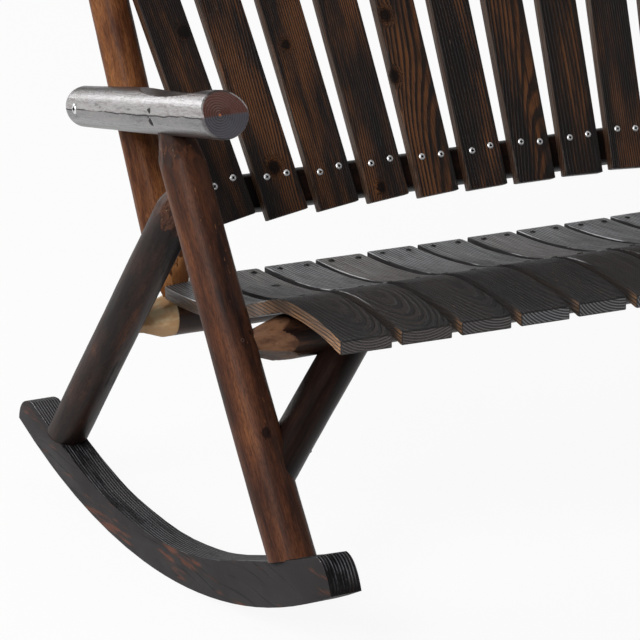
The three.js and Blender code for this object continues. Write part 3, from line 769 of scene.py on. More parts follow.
    def _banded_side(self, graph: Graph, f: BoardFields) -> Signal:
        """Returns the colour of a sawn side that shows dark rings between bare wood.

        Args:
            graph: The material's graph.
            f: The board's fields.
        """
        tip = (1.0 - f.z / 0.045).math("MAXIMUM", 0.0)
        level = f.y + tip * tip * 0.004 + f.fuzz * 0.0014 + f.warp * 0.012 + (f.patch - 0.5) * 0.008
        band = level.wave(self.ring * 1.32).ramp(0.25, 0.8)
        rear = (f.z.ramp(0.08, 0.4) + f.patch - 0.5).ramp(0.1, 0.9)
        sawn = graph.mix(rear, self.bare, graph.mix(0.22, self.warm, self.bare))
        sawn = graph.mix((1.0 - f.patch).ramp(0.42, 0.62) * 0.7, sawn, self.warm)
        return graph.mix(band * 0.9, sawn, self.dark)

    def _rusty_side(self, graph: Graph, f: BoardFields) -> tuple[Signal, Signal]:
        """Colours a sawn side that shows long dark arcs and rusty streaks.

        Args:
            graph: The material's graph.
            f: The board's fields.

        Returns:
            The colour, and where the arcs are, as 1.
        """
        rust = graph.clouds(f.own, self.RUST).ramp(0.56, 0.7)
        sweep = f.y + (graph.clouds(f.own, self.SWEEP) - 0.5) * 0.07
        arcs = sweep.wave(self.ARC_SPACING).ramp(0.7, 1.0) * f.patch.ramp(0.44, 0.6)
        return graph.mix(rust * 0.8, graph.mix(arcs * 0.6, self.bare, self.dark), self.glow), arcs

    def _finish_edges(self, graph: Graph, f: BoardFields, late: Signal, colour: Signal) -> Signal:
        """Colours the sawn ends, the painted glints on the upper edges and the knots.

        Args:
            graph: The material's graph.
            f: The board's fields.
            late: Where the dark part of a ring is, as 1.
            colour: The colour so far.

        Returns:
            The new colour.
        """
        cut = graph.mix(f.chances[0].ramp(0.45, 0.85) * self.silver, self.cut, self.BLUE_CUT)
        colour = graph.mix(f.end * (1.0 - late) * 0.95, colour, cut)
        # Painted highlight: a bright glint along the rounded upper edges.
        edge = (f.sideways * f.upward).ramp(0.2, 0.42) * (f.patch + f.fuzz * 0.6).ramp(0.5, 0.58)
        edge = edge * ((f.z - 0.06).ramp(0.0, 0.1) + f.z.ramp(0.0, -0.01))
        colour = graph.mix(edge * self.worn, colour, self.WORN_EDGE)
        return graph.mix(f.knots.ramp(0.35, 0.75) * 0.92, colour, self.dark)


@dataclass(frozen=True)
class Steel:
    """A screw's metal, with painted shade in its recess.

    Attributes:
        name: The material's name.
        colour: The metal's tone.
        rough: Its roughness.
        metal: How metallic it is, from 0 where paint or char hides it to 1.
    """

    name: str
    colour: Colour
    rough: float
    metal: float = 1.0

    WEAR = Cloud(900, 900, 900, 3, 0.6)
    GRIME = (0.12, 0.1, 0.09)
    RECESS = (0.01, 0.01, 0.01)

    def material(self) -> bpy.types.Material:
        """Returns the material, newly made."""
        material = bpy.data.materials.new(self.name)
        graph = Graph.emptied(material)
        worn = graph.clouds(graph.add("ShaderNodeTexCoord", {}, {}, "Object"), self.WEAR)
        grime = graph.mix(worn.ramp(0.5, 0.75) * 0.6 * self.metal, self.colour, self.GRIME)
        graph.end("ShaderNodeOutputMaterial", graph.add("ShaderNodeBsdfPrincipled", {}, {
            # Painted shade: the recess, marked as an end, turns near-black.
            "Base Color": graph.mix(graph.mark(Mark.END), grime, self.RECESS),
            "Roughness": self.rough + worn * 0.2, "Metallic": self.metal,
        }))
        return material


Finish = Wood | Steel


# ---- the bench's plan


def height_at(line: list[Span], x: float) -> float:
    """Returns the height of a bent line.

    Args:
        line: The line's points, in order.
        x: The distance along it.

    Returns:
        The height between the two nearest points.
    """
    for (x0, y0), (x1, y1) in zip(line, line[1:]):
        if x <= x1:
            break
    return y0 + (y1 - y0) * (x - x0) / (x1 - x0)


@dataclass
class Plan:
    """The bench's axes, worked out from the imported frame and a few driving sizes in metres."""

    seat_inset: float = 0.034
    seat_pitch: float = 0.074
    seat_fan: float = math.radians(0.374)
    seat_slats: int = 15
    front_foot_setback: float = 0.091
    front_leg_splay: float = math.radians(4.0)
    rear_foot_inset: float = 0.112
    post_foot_reach: float = 0.50415
    post_setback: float = 0.01
    post_recline: float = math.radians(23.5)
    post_splay: float = math.radians(2.1)
    recline: float = math.radians(21.0)
    back_slats: int = 13
    back_pitch: float = 0.071
    back_fan: float = math.radians(1.74)
    lower_flat: float = 0.0155
    upper_flat: float = 0.0238
    slat_thickness: float = 0.014
    clearance: float = 0.0003
    arm_rise: float = 0.077
    arm_fall: float = 0.051
    arm_radius: float = 0.025
    post_radius: float = 0.0241
    arm_front_reach: float = 0.195
    arm_rear_reach: float = 0.046
    brace_foot_height: float = 0.19
    brace_reach: float = 0.156
    rocker_radius: float = 1.014
    rocker_lowest: float = 0.037
    rocker_least: float = 0.03

    @staticmethod
    def middle(node: str) -> Vector:
        """Returns the middle of a CAD node's box."""
        low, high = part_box(node)
        return (low + high) / 2

    @staticmethod
    def at_height(start: Vector, direction: Vector, z: float) -> Vector:
        """Returns the point of a straight axis at a height."""
        return start + direction * ((z - start.z) / direction.z)

    def rocker_top(self, y: float) -> float:
        """Returns the height of the rocker's top, between the two nearest corners of the CAD's.

        Args:
            y: The place along the bench.

        Returns:
            The height.
        """
        line: dict[float, float] = {}
        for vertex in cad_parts["right_rocker"].data.vertices:
            along, height = round(vertex.co.y, 5), round(vertex.co.z, 5)
            line[along] = max(height, line.get(along, 0.0))
        least = self.rocker_least
        return height_at(sorted(p for p in line.items() if p[1] > self.arc(p[0]) + least), y)

    def arc(self, y: float) -> float:
        """Returns the height of the rocker's underside."""
        radius = self.rocker_radius
        return radius - math.sqrt(radius ** 2 - (y - self.rocker_lowest) ** 2)

    def __post_init__(self) -> None:
        """Works out every axis of the right-hand side."""
        toe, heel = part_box("right_rocker")
        self.seat_front = toe.y + self.seat_inset
        rocker_x = (toe.x + heel.x) / 2
        self.front_rail = self.middle("front_seat_rail")
        self.rear_rail = self.middle("rear_seat_rail")
        foot_y = self.seat_front + self.front_foot_setback
        self.front_foot = Vector((rocker_x, foot_y, self.rocker_top(foot_y)))
        rise = (self.front_rail.y - foot_y) / (self.front_rail.z - self.front_foot.z)
        self.front_leg = Vector((math.tan(self.front_leg_splay), rise, 1.0)).normalized()
        foot_y = heel.y - self.rear_foot_inset
        self.rear_foot = Vector((rocker_x, foot_y, self.rocker_top(foot_y)))
        back = (self.rear_rail.y - foot_y) / (self.rear_rail.z - self.rear_foot.z)
        start = self.front_foot.y - self.rear_foot.y
        start += back * self.rear_foot.z - rise * self.front_foot.z
        self.legs_meet = self.at_height(self.front_foot, self.front_leg, start / (back - rise))
        self.rear_leg = (self.legs_meet - self.rear_foot).normalized()
        self._plan_back()
        self._plan_arm()

    def _plan_back(self) -> None:
        """Works out the posts, the back rails and the slats' face."""
        foot_y = self.rear_rail.y - self.post_setback
        self.post_foot = Vector((self.post_foot_reach, foot_y, self.rear_rail.z))
        lean = math.tan(self.post_splay), math.tan(self.post_recline)
        self.post = Vector((*lean, 1.0)).normalized()
        self.slat_up = Vector((0.0, math.sin(self.recline), math.cos(self.recline)))
        self.slat_out = Vector((0.0, -math.cos(self.recline), math.sin(self.recline)))
        self.lower_rail = self.middle("lower_back_rail")
        on_post = self.at_height(self.post_foot, self.post, self.lower_rail.z)
        self.lower_rail = Vector((0.0, on_post.y, self.lower_rail.z))
        stand = self.lower_flat + self.clearance + self.slat_thickness
        self.face_foot = self.lower_rail + self.slat_out * stand
        self.upper_rail = self.middle("upper_back_rail")
        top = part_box("right_back_post")[1].z
        self.post_top = self.at_height(self.post_foot, self.post, top)

    def _plan_arm(self) -> None:
        """Works out the arm's and the brace's axes."""
        height = self.legs_meet.z + self.arm_rise
        self.arm_on_leg = self.at_height(self.front_foot, self.front_leg, height)
        beside = self.at_height(self.post_foot, self.post, height - self.arm_fall)
        apart = self.post_radius + self.arm_radius + self.clearance
        self.arm_beside_post = beside + Vector((apart, 0.0, 0.0))
        self.arm = (self.arm_beside_post - self.arm_on_leg).normalized()
        self.arm_front = self.arm_on_leg - self.arm * self.arm_front_reach
        self.arm_rear = self.arm_beside_post + self.arm * self.arm_rear_reach
        self.front_joint = self.at_height(self.front_foot, self.front_leg, self.front_rail.z)
        self.rear_joint = self.at_height(self.rear_foot, self.rear_leg, self.rear_rail.z)
        self.brace_foot = self.at_height(self.front_foot, self.front_leg, self.brace_foot_height)
        inward = self.front_joint.x - self.brace_reach
        self.brace_head = Vector((inward, self.front_rail.y, self.front_rail.z))

    @cached_property
    def back_length(self) -> float:
        """Returns the length of the middle back slat above its foot."""
        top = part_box("back_slat_07")[1].z
        return (top - self.face_foot.z) / self.slat_up.z


# ---- meshes


@dataclass
class Skin:
    """Corners, faces and marks, collected before they become a mesh.

    Attributes:
        corners: The corners' places.
        faces: The numbers of each face's corners.
        grain: Each corner's place in the grain frame.
        end: Where a sawn end is, or a screw's recess with its painted shade, as 1, for each corner.
        whittled: Where a knife has been, as 1, for each corner.
        piece: The piece's number.
    """

    corners: list[Vector] = field(default_factory=list)
    faces: list[list[int]] = field(default_factory=list)
    grain: list[Vector] = field(default_factory=list)
    end: list[float] = field(default_factory=list)
    whittled: list[float] = field(default_factory=list)
    piece: float = 0.0

    def corner(self, place: Vector, grain: Vector, end: float = 0.0,
               whittled: float = 0.0) -> int:
        """Adds a corner and returns its number.

        Args:
            place: Its place.
            grain: Its place in the grain frame.
            end: Whether it is on a sawn end.
            whittled: Whether a knife has been there.
        """
        self.corners.append(place)
        self.grain.append(grain)
        self.end.append(end)
        self.whittled.append(whittled)
        return len(self.corners) - 1

    def bridge(self, first: list[int], second: list[int]) -> None:
        """Joins two rings of corners with a band of faces.

        Args:
            first: The corners of one ring.
            second: The corners of the other.
        """
        count = len(first)
        for i in range(count):
            j = (i + 1) % count
            self.faces.append([first[i], first[j], second[j], second[i]])

    def mesh(self, name: str, sharp: float = 38.0) -> bpy.types.Mesh:
        """Makes the mesh.

        Args:
            name: The mesh's name.
            sharp: The angle in degrees past which an edge stays crisp.

        Returns:
            The mesh, with its marks as attributes.
        """
        mesh = bpy.data.meshes.new(name)
        mesh.from_pydata([tuple(c) for c in self.corners], [], self.faces)
        mesh.shade_smooth()
        mesh.set_sharp_from_angle(angle=math.radians(sharp))
        grain = [part for place in self.grain for part in place]
        self.mark(mesh, Mark.GRAIN, "FLOAT_VECTOR", grain)
        self.mark(mesh, Mark.PIECE, "FLOAT", [self.piece] * len(self.corners))
        self.mark(mesh, Mark.END, "FLOAT", self.end)
        self.mark(mesh, Mark.WHITTLED, "FLOAT", self.whittled)
        return mesh

    @staticmethod
    def mark(mesh: bpy.types.Mesh, mark: Mark, kind: str, values: list[float]) -> None:
        """Writes one attribute."""
        attribute = mesh.attributes.new(mark.value, kind, "POINT")
        attribute.data.foreach_set("vector" if kind == "FLOAT_VECTOR" else "value", values)


@dataclass
class Workshop:
    """Turns meshes into pieces that ride on the bench.

    Attributes:
        materials: The materials made so far, by name.
    """

    materials: dict[str, bpy.types.Material] = field(default_factory=dict)

    def material(self, finish: Finish) -> bpy.types.Material:
        """Returns a finish's material, made once."""
        if finish.name not in self.materials:
            self.materials[finish.name] = finish.material()
        return self.materials[finish.name]

    def piece(self, name: str, mesh: bpy.types.Mesh, finish: Finish, slot: str,
              *nodes: str) -> None:
        """Hands a mesh to the bench.

        Args:
            name: The piece's name.
            mesh: Its mesh, in the bench's frame.
            finish: Its finish.
            slot: Not used.
            nodes: The CAD nodes that it stands for.
        """
        piece = new_object(name, mesh)
        mesh.materials.clear()
        mesh.materials.append(self.material(finish))
        if nodes:
            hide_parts(*nodes)
        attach(piece, BODY)
        log.info("%s: %d faces", name, len(mesh.polygons))

    @staticmethod
    def grown(name: str, mesh: bpy.types.Mesh, tree: "Tree",
              values: dict[str, Any]) -> bpy.types.Mesh:
        """Runs a Geometry Nodes tree on a mesh and keeps the result.

        Args:
            name: The result's name.
            mesh: The mesh that the tree starts from.
            tree: The tree.
            values: A value for each of its named inputs.

        Returns:
            The plain mesh.
        """
        carrier = new_object(name, mesh)
        modifier = carrier.modifiers.new(name, "NODES")
        modifier.node_group = tree.group
        for label, value in values.items():
            modifier[tree.identifier(label)] = value
        depsgraph = bpy.context.evaluated_depsgraph_get()
        result = bpy.data.meshes.new_from_object(
            carrier.evaluated_get(depsgraph), preserve_all_data_layers=True, depsgraph=depsgraph)
        carrier.modifiers.remove(modifier)
        bpy.data.objects.remove(carrier)
        result.name = name
        return result


class Tree:
    """A Geometry Nodes tree with named inputs."""

    def __init__(self, name: str, inputs: dict[str, str]) -> None:
        """Starts a tree.

        Args:
            name: Its name.
            inputs: The kind of each input, by name.
        """
        self.group = bpy.data.node_groups.new(name, "GeometryNodeTree")
        self.graph = Graph(self.group)
        face = self.group.interface
        for label, kind in {"Geometry": "Geometry", **inputs}.items():
            face.new_socket(label, in_out="INPUT", socket_type=f"NodeSocket{kind}")
        face.new_socket("Geometry", in_out="OUTPUT", socket_type="NodeSocketGeometry")
        self._entry = self.group.nodes.new("NodeGroupInput")

    def identifier(self, label: str) -> str:
        """Returns the identifier of a named input."""
        items = self.group.interface.items_tree
        return next(i.identifier for i in items if i.name == label and i.in_out == "INPUT")

    def given(self, label: str) -> Signal:
        """Returns a named input inside the tree."""
        return Signal(self.graph, self._entry.outputs[label])

    def named(self, name: str, kind: str) -> Signal:
        """Returns a named attribute of a type."""
        settings, inputs = {"data_type": kind}, {"Name": name}
        return self.graph.add("GeometryNodeInputNamedAttribute", settings, inputs, "Attribute")

    def finish(self, geometry: Signal) -> None:
        """Ends the tree in Realize Instances and Set Material.

        Args:
            geometry: What the tree has made.
        """
        real = self.graph.add("GeometryNodeRealizeInstances", {}, {"Geometry": geometry})
        inputs = {"Geometry": real, "Material": self.given("Material")}
        self.graph.end("NodeGroupOutput", self.graph.add("GeometryNodeSetMaterial", {}, inputs))


class SlatRow(Tree):
    """Repeats one slat across the bench, fanned, arched and a little uneven by hand.

    Attributes:
        LIFT: How far a slat lifts, as a share of the unevenness.
        SWAY: How far a slat turns, in radians for a metre of the unevenness.
    """

    LIFT = 0.25
    SWAY = 1.6

    def __init__(self) -> None:
        """Builds the tree."""
        super().__init__("slat_row", {
            "Count": "Int", "Pitch": "Float", "Fan": "Float", "Length": "Float", "Crown": "Float",
            "Unevenness": "Float", "First piece": "Float", "Turn": "Vector", "Place": "Vector",
            "Seed": "Int", "Material": "Material",
        })
        graph = self.graph
        inputs = {"Count": self.given("Count"), "Offset": (0.0, 0.0, 0.0)}
        line = graph.add("GeometryNodeMeshLine", {}, inputs)
        inputs = {"Points": line, "Instance": self.given("Geometry")}
        copies = graph.add("GeometryNodeInstanceOnPoints", {}, inputs)
        index = graph.add("GeometryNodeInputIndex")
        outermost = (self.given("Count") - 1.0) * 0.5
        copies = self._store(copies, "rank", "FLOAT", index - outermost, "INSTANCE")
        for number, name in enumerate(("sway", "lift", "slip")):
            chance = graph.add("FunctionNodeRandomValue", {"data_type": "FLOAT"}, {
                "Min": -1.0, "Max": 1.0, "ID": index, "Seed": self.given("Seed") + number,
            }, "Value")
            copies = self._store(copies, name, "FLOAT", chance, "INSTANCE")
        row = graph.add("GeometryNodeRealizeInstances", {}, {"Geometry": copies})
        rank = self._read("rank")
        place = graph.add("GeometryNodeInputPosition")
        x, y, z = place.parts()
        grain = graph.vector(x, z, y)
        row = self._store(row, Mark.GRAIN.value, "FLOAT_VECTOR", grain, "POINT")
        number = rank + self.given("First piece")
        row = self._store(row, Mark.PIECE.value, "FLOAT", number, "POINT")
        share = rank / outermost
        uneven = self.given("Unevenness")
        height = y.math("MAXIMUM", 0.0) / self.given("Length")
        drop = self.given("Crown") * share * share * height
        along = y - drop + uneven * self._read("slip")
        moved = graph.vector(x, along, z + uneven * self.LIFT * self._read("lift"))
        angle = uneven * self._read("sway") * self.SWAY - rank * self.given("Fan")
        turned = graph.add("ShaderNodeVectorRotate", {"rotation_type": "Z_AXIS"},
                           {"Vector": moved, "Angle": angle})
        shifted = graph.sum_of(turned, graph.vector(rank * self.given("Pitch"), 0.0, 0.0))
        row = graph.add("GeometryNodeSetPosition", {}, {"Geometry": row, "Position": shifted})
        row = graph.add("GeometryNodeTransform", {}, {
            "Geometry": row, "Translation": self.given("Place"), "Rotation": self.given("Turn"),
        })
        self.finish(row)

    def _store(self, geometry: Signal, name: str, kind: str, value: Signal, domain: str) -> Signal:
        """Stores an attribute and returns the geometry."""
        settings = {"data_type": kind, "domain": domain}
        inputs = {"Geometry": geometry, "Name": name, "Value": value}
        return self.graph.add("GeometryNodeStoreNamedAttribute", settings, inputs)

    def _read(self, name: str) -> Signal:
        """Returns a stored number."""
        return self.named(name, "FLOAT")


class ScrewRow(Tree):
    """Sets a screw's head on each point, square to the surface and turned by chance."""

    def __init__(self) -> None:
        """Builds the tree."""
        super().__init__("screw_row", {
            "Head": "Object", "Size": "Float", "Seed": "Int", "Material": "Material",
        })
        graph = self.graph
        head = graph.add("GeometryNodeObjectInfo", {}, {"Object": self.given("Head")}, "Geometry")
        facing = self.named("facing", "FLOAT_VECTOR")
        upright = graph.add("FunctionNodeAlignRotationToVector", {"axis": "Z"}, {"Vector": facing})
        chance = graph.add("FunctionNodeRandomValue", {"data_type": "FLOAT"}, {
            "Min": 0.0, "Max": math.tau, "Seed": self.given("Seed"),
        }, "Value")
        inputs = {"Axis": (0.0, 0.0, 1.0), "Angle": chance}
        twist = graph.add("FunctionNodeAxisAngleToRotation", {}, inputs)
        inputs = {"Rotation": upright, "Rotate By": twist}
        turn = graph.add("FunctionNodeRotateRotation", {"rotation_space": "LOCAL"}, inputs)
        size = self.given("Size")
        self.finish(graph.add("GeometryNodeInstanceOnPoints", {}, {
            "Points": self.given("Geometry"), "Instance": head, "Rotation": turn,
            "Scale": graph.vector(size, size, size),
        }))


# ---- logs


Axes = tuple[Vector, Vector, Vector]


class Cut(Protocol):
    """Anything that trims a log's corners, and whether it lays new wood bare."""

    bares: bool

    def trim(self, place: Vector) -> Vector:
        """Returns where a corner lies after the cut."""


@dataclass(frozen=True)
class PlaneCut:
    """A flat cut: what lies beyond it slides back on to it.

    Attributes:
        point: A point of the plane.
        normal: The plane's outward direction.
        slide: The direction that corners slide along.
        bares: Whether it lays new wood bare.
    """

    point: Vector
    normal: Vector
    slide: Vector
    bares: bool = False

    def trim(self, place: Vector) -> Vector:
        """Returns where a corner lies after the cut."""
        beyond = (place - self.point).dot(self.normal)
        if beyond <= 0:
            return place
        return place - self.slide * (beyond / self.slide.dot(self.normal))


@dataclass(frozen=True)
class DishCut:
    """A shallow round dish across a log.

    Attributes:
        centre: The middle of the dish's own round, above the log.
        axis: The log's direction.
        up: The direction out of the dish.
        radius: The radius of the dish's round.
        bares: Whether it lays new wood bare.
    """

    centre: Vector
    axis: Vector
    up: Vector
    radius: float
    bares: bool = True

    def trim(self, place: Vector) -> Vector:
        """Returns where a corner lies after the cut."""
        offset = place - self.centre
        along, rise = offset.dot(self.axis), offset.dot(self.up)
        if abs(along) >= self.radius:
            return place
        floor = -math.sqrt(self.radius ** 2 - along ** 2)
        return place if rise <= floor else place - self.up * (rise - floor)


@dataclass(frozen=True)
class Whittling:
    """Knife work that brings a log's end down in flat facets.

    Attributes:
        tip: The distance where the facets reach their least radius.
        start: The distance where they leave the log's own surface.
        low: The least radius.
        high: The log's radius where they leave it.
        facets: Their count.
        seed: What makes these facets differ from others.
        turn: The angle that the facets are turned by.
    """

    tip: float
    start: float
    low: float
    high: float
    facets: int = 8
    seed: float = 0.0
    turn: float = 0.0

    LEAST_FACING = 0.1
    BEFORE = 0.008
    BEYOND = 0.012

    def radius(self, angle: float, distance: float) -> float:
        """Returns how far from the axis the facets leave wood.

        Args:
            angle: The direction from the axis.
            distance: The distance along it.

        Returns:
            The radius that is left.
        """
        share = max(0.0, (distance - self.tip) / (self.start - self.tip))
        least = math.inf
        for k in range(self.facets):
            chance = noise.cell_vector(Vector((k + 0.5, self.seed, 0.5)))
            facing = math.cos(angle - self.turn - math.tau * (k + 0.5 * chance.x) / self.facets)
            if facing > self.LEAST_FACING:
                reach = self.low * (0.95 + 0.1 * chance.y)
                rise = (self.high - reach) * share / (0.86 + 0.24 * chance.z)
                least = min(least, (reach + rise) / facing)
        return least

    def near(self, distance: float) -> bool:
        """Returns whether a distance lies where the facets are."""
        low, high = sorted((self.tip, self.start))
        return low - self.BEFORE < distance < high + self.BEYOND


@dataclass
class Log:
    """A peeled log between two points, uneven as it grew, with whittled ends and cuts.

    Attributes:
        start: The point of the axis that distances are counted from.
        end: The axis's other end.
        profile: The radius at distances from the start.
        number: The piece's number, which also seeds its unevenness.
        worked: The knife work on it.
        cuts: The cuts that trim it.
        sides: The corners of each ring.
        step: The distance between rings.
        wobble: The unevenness of the radius, as a share of it.
        bow: How far the middle bows out.
        fine: The distances between which the rings lie closer.
        fine_step: The distance between those rings.
        sharp: The angle in degrees past which an edge stays crisp.
        peel: How far from each end the wood is bare all round.
    """

    start: Vector
    end: Vector
    profile: list[Span]
    number: float
    worked: list[Whittling] = field(default_factory=list)
    cuts: list[Cut] = field(default_factory=list)
    sides: int = 60
    step: float = 0.008
    wobble: float = 0.02
    bow: float = 0.0012
    fine: Span = (0.0, 0.0)
    fine_step: float = 0.0022
    sharp: float = 38.0
    peel: float = 0.0

    PEEL_EDGE = 0.007
    KNIFE_EDGE = 0.0012
    DISH_EDGE = 0.0006
    NICKS = 0.012
    CAP_SHARES = (0.85, 0.6, 0.35, 0.12)

    def stations(self) -> list[float]:
        """Returns the distances of the rings, closer together where a knife has been."""
        spots = [self.profile[0][0]]
        last = self.profile[-1][0]
        while spots[-1] < last:
            fine = any(work.near(spots[-1]) for work in self.worked)
            fine = fine or self.fine[0] <= spots[-1] < self.fine[1]
            spots.append(spots[-1] + (self.fine_step if fine else self.step))
        spots[-1] = last
        return spots

    def skin(self) -> Skin:
        """Returns the log's surface, in the bench's frame."""
        direction = (self.end - self.start).normalized()
        side = direction.cross(Vector((0.0, 0.3, 1.0))).normalized()
        axes = (side, side.cross(direction), direction)
        skin = Skin(piece=self.number)
        rings = [self._ring(skin, axes, distance, 1.0, 0.0) for distance in self.stations()]
        for first, second in zip(rings, rings[1:]):
            skin.bridge(first, second)
        self._cap(skin, axes, self.profile[0][0], rings[0], True)
        self._cap(skin, axes, self.profile[-1][0], rings[-1], False)
        return skin

    def _centre(self, distance: float, axes: Axes) -> Vector:
        """Returns the bowed axis's point at a distance."""
        share = min(1.0, max(0.0, distance / (self.end - self.start).length))
        lean = axes[0] * math.sin(self.number * 7.1) + axes[1] * math.cos(self.number * 7.1)
        return self.start + axes[2] * distance + lean * (self.bow * math.sin(math.pi * share))

    def _ring(self, skin: Skin, axes: Axes, distance: float, share: float, end: float) -> list[int]:
        """Adds one ring of corners.

        Args:
            skin: The surface so far.
            axes: The directions to the side, up and along the log.
            distance: The distance along the log.
            share: The share of the surface's own radius.
            end: Whether the ring is on a sawn end.

        Returns:
            The corners' numbers.
        """
        centre = self._centre(distance, axes)
        ring = []
        for k in range(self.sides):
            angle = math.tau * k / self.sides
            radius, carved = self._surface(angle, distance)
            outward = axes[0] * math.cos(angle) + axes[1] * math.sin(angle)
            place = centre + outward * (radius * share)
            for cut in self.cuts:
                trimmed = cut.trim(place)
                if cut.bares:
                    carved = max(carved, min(1.0, (trimmed - place).length / self.DISH_EDGE))
                place = trimmed
            offset = place - self.start
            grain = Vector([offset.dot(axis) for axis in axes])
            ring.append(skin.corner(place, grain, end, carved))
        return ring

    def _surface(self, angle: float, distance: float) -> tuple[float, float]:
        """Returns the uneven surface's radius.

        Args:
            angle: The direction from the axis.
            distance: The distance along the log.

        Returns:
            The radius, and how far a knife or a peel has bared it, from 0 to 1.
        """
        around = Vector((math.cos(angle), math.sin(angle), 0.0))
        spot = around * 1.1 + Vector((0.0, 0.0, distance * 9.0 + self.number * 13.7))
        fine = around * 2.6 + Vector((0.0, 0.0, distance * 38.0 + self.number * 5.1))
        uneven = noise.noise(spot) + 0.3 * noise.noise(fine)
        grown = height_at(self.profile, distance) * (1.0 + self.wobble * uneven)
        left = min((work.radius(angle, distance) for work in self.worked), default=math.inf)
        carved = 0.5 + (grown - left) / self.KNIFE_EDGE
        if self.peel:
            from_end = min(distance, (self.end - self.start).length - distance)
            carved = max(carved, 0.5 + (self.peel - from_end) / self.PEEL_EDGE)
        nick = around * 3.0 + Vector((0.0, 0.0, distance * 60.0 + self.number * 3.3))
        radius = min(grown, left * (1.0 + self.NICKS * noise.noise(nick)))
        return radius, min(1.0, max(0.0, carved))

    def _cap(self, skin: Skin, axes: Axes, distance: float, outer: list[int], flip: bool) -> None:
        """Closes an end in rings of its own corners, so that its edge stays crisp.

        Args:
            skin: The surface so far.
            axes: The directions to the side, up and along the log.
            distance: The end's distance along the log.
            outer: The corners of the surface's last ring.
            flip: Whether the end faces back along the log.
        """
        rings = [[skin.corner(skin.corners[i], skin.grain[i], 1.0) for i in outer]]
        rings += [self._ring(skin, axes, distance, share, 1.0) for share in self.CAP_SHARES]
        for first, second in zip(rings, rings[1:]):
            skin.bridge(second, first) if flip else skin.bridge(first, second)
        skin.faces.append(rings[-1][::-1] if flip else rings[-1])


# ---- boards


@dataclass(frozen=True)
class Section:
    """A board's cross-section: a rectangle with rounded corners.

    Attributes:
        low: Its lower left corner.
        high: Its upper right corner.
        rounding: The corners' radius.
        turns: The steps of each rounded corner.
        spans: The steps of the long faces.
    """

    low: Span
    high: Span
    rounding: float
    turns: int = 3
    spans: int = 10

    def outline(self) -> list[Span]:
        """Returns the places of its corners in turn, from the lower right one over the top."""
        (x0, z0), (x1, z1), r = self.low, self.high, self.rounding
        right, left, low, high = x1 - r, x0 + r, z0 + r, z1 - r
        centres = [(right, low, -90), (right, high, 0), (left, high, 90), (left, low, 180)]
        points = []
        for number, (x, z, start) in enumerate(centres):
            for step in range(self.turns + 1):
                angle = math.radians(start + 90 * step / self.turns)
                points.append((x + r * math.cos(angle), z + r * math.sin(angle)))
            if number in (1, 3):
                following = centres[(number + 1) % 4]
                for step in range(1, self.spans):
                    x_at = x + (following[0] - x) * step / self.spans
                    points.append((x_at, z1 if number == 1 else z0))
        return points


class Board:
    """A board that is lofted through its sections."""

    def __init__(self, number: float) -> None:
        """Starts an empty board.

        Args:
            number: The piece's number.
        """
        self.skin = Skin(piece=number)
        self.rings: list[list[int]] = []

    def ring(self, section: Section, y: float) -> None:
        """Adds the section at a distance along the board."""
        self.rings.append([self.skin.corner(Vector((x, y, z)), Vector((x, z, y)))
                           for x, z in section.outline()])

    def close(self) -> Skin:
        """Joins the rings, closes both ends and returns the board's surface."""
        for first, second in zip(self.rings, self.rings[1:]):
            self.skin.bridge(second, first)
        for ring, backwards in ((self.rings[0], False), (self.rings[-1], True)):
            skin = self.skin
            corners = [skin.corner(skin.corners[i], skin.grain[i], 1.0) for i in ring]
            skin.faces.append(corners[::-1] if backwards else corners)
        return self.skin


Spots = list[tuple[Vector, Vector]]


def spline(points: list[Span], t: float) -> Span:
    """Returns a point of the smooth curve through some points.

    Args:
        points: The points.
        t: How far along it, from 0 to 1.

    Returns:
        The point.
    """
    place = (len(points) - 1) * t
    i = min(int(place), len(points) - 2)
    w = place - i
    p0, p1 = points[i if i == 0 else i - 1], points[i]
    p2, p3 = points[min(i + 1, len(points) - 1)], points[min(i + 2, len(points) - 1)]
    result = []
    for a, b, c, d in zip(p0, p1, p2, p3):
        v0, v1 = (c - a) * 0.5, (d - b) * 0.5
        cubic, square = 2 * b - 2 * c + v0 + v1, -3 * b + 3 * c - 2 * v0 - v1
        result.append(cubic * w ** 3 + square * w ** 2 + v0 * w + b)
    return result[0], result[1]


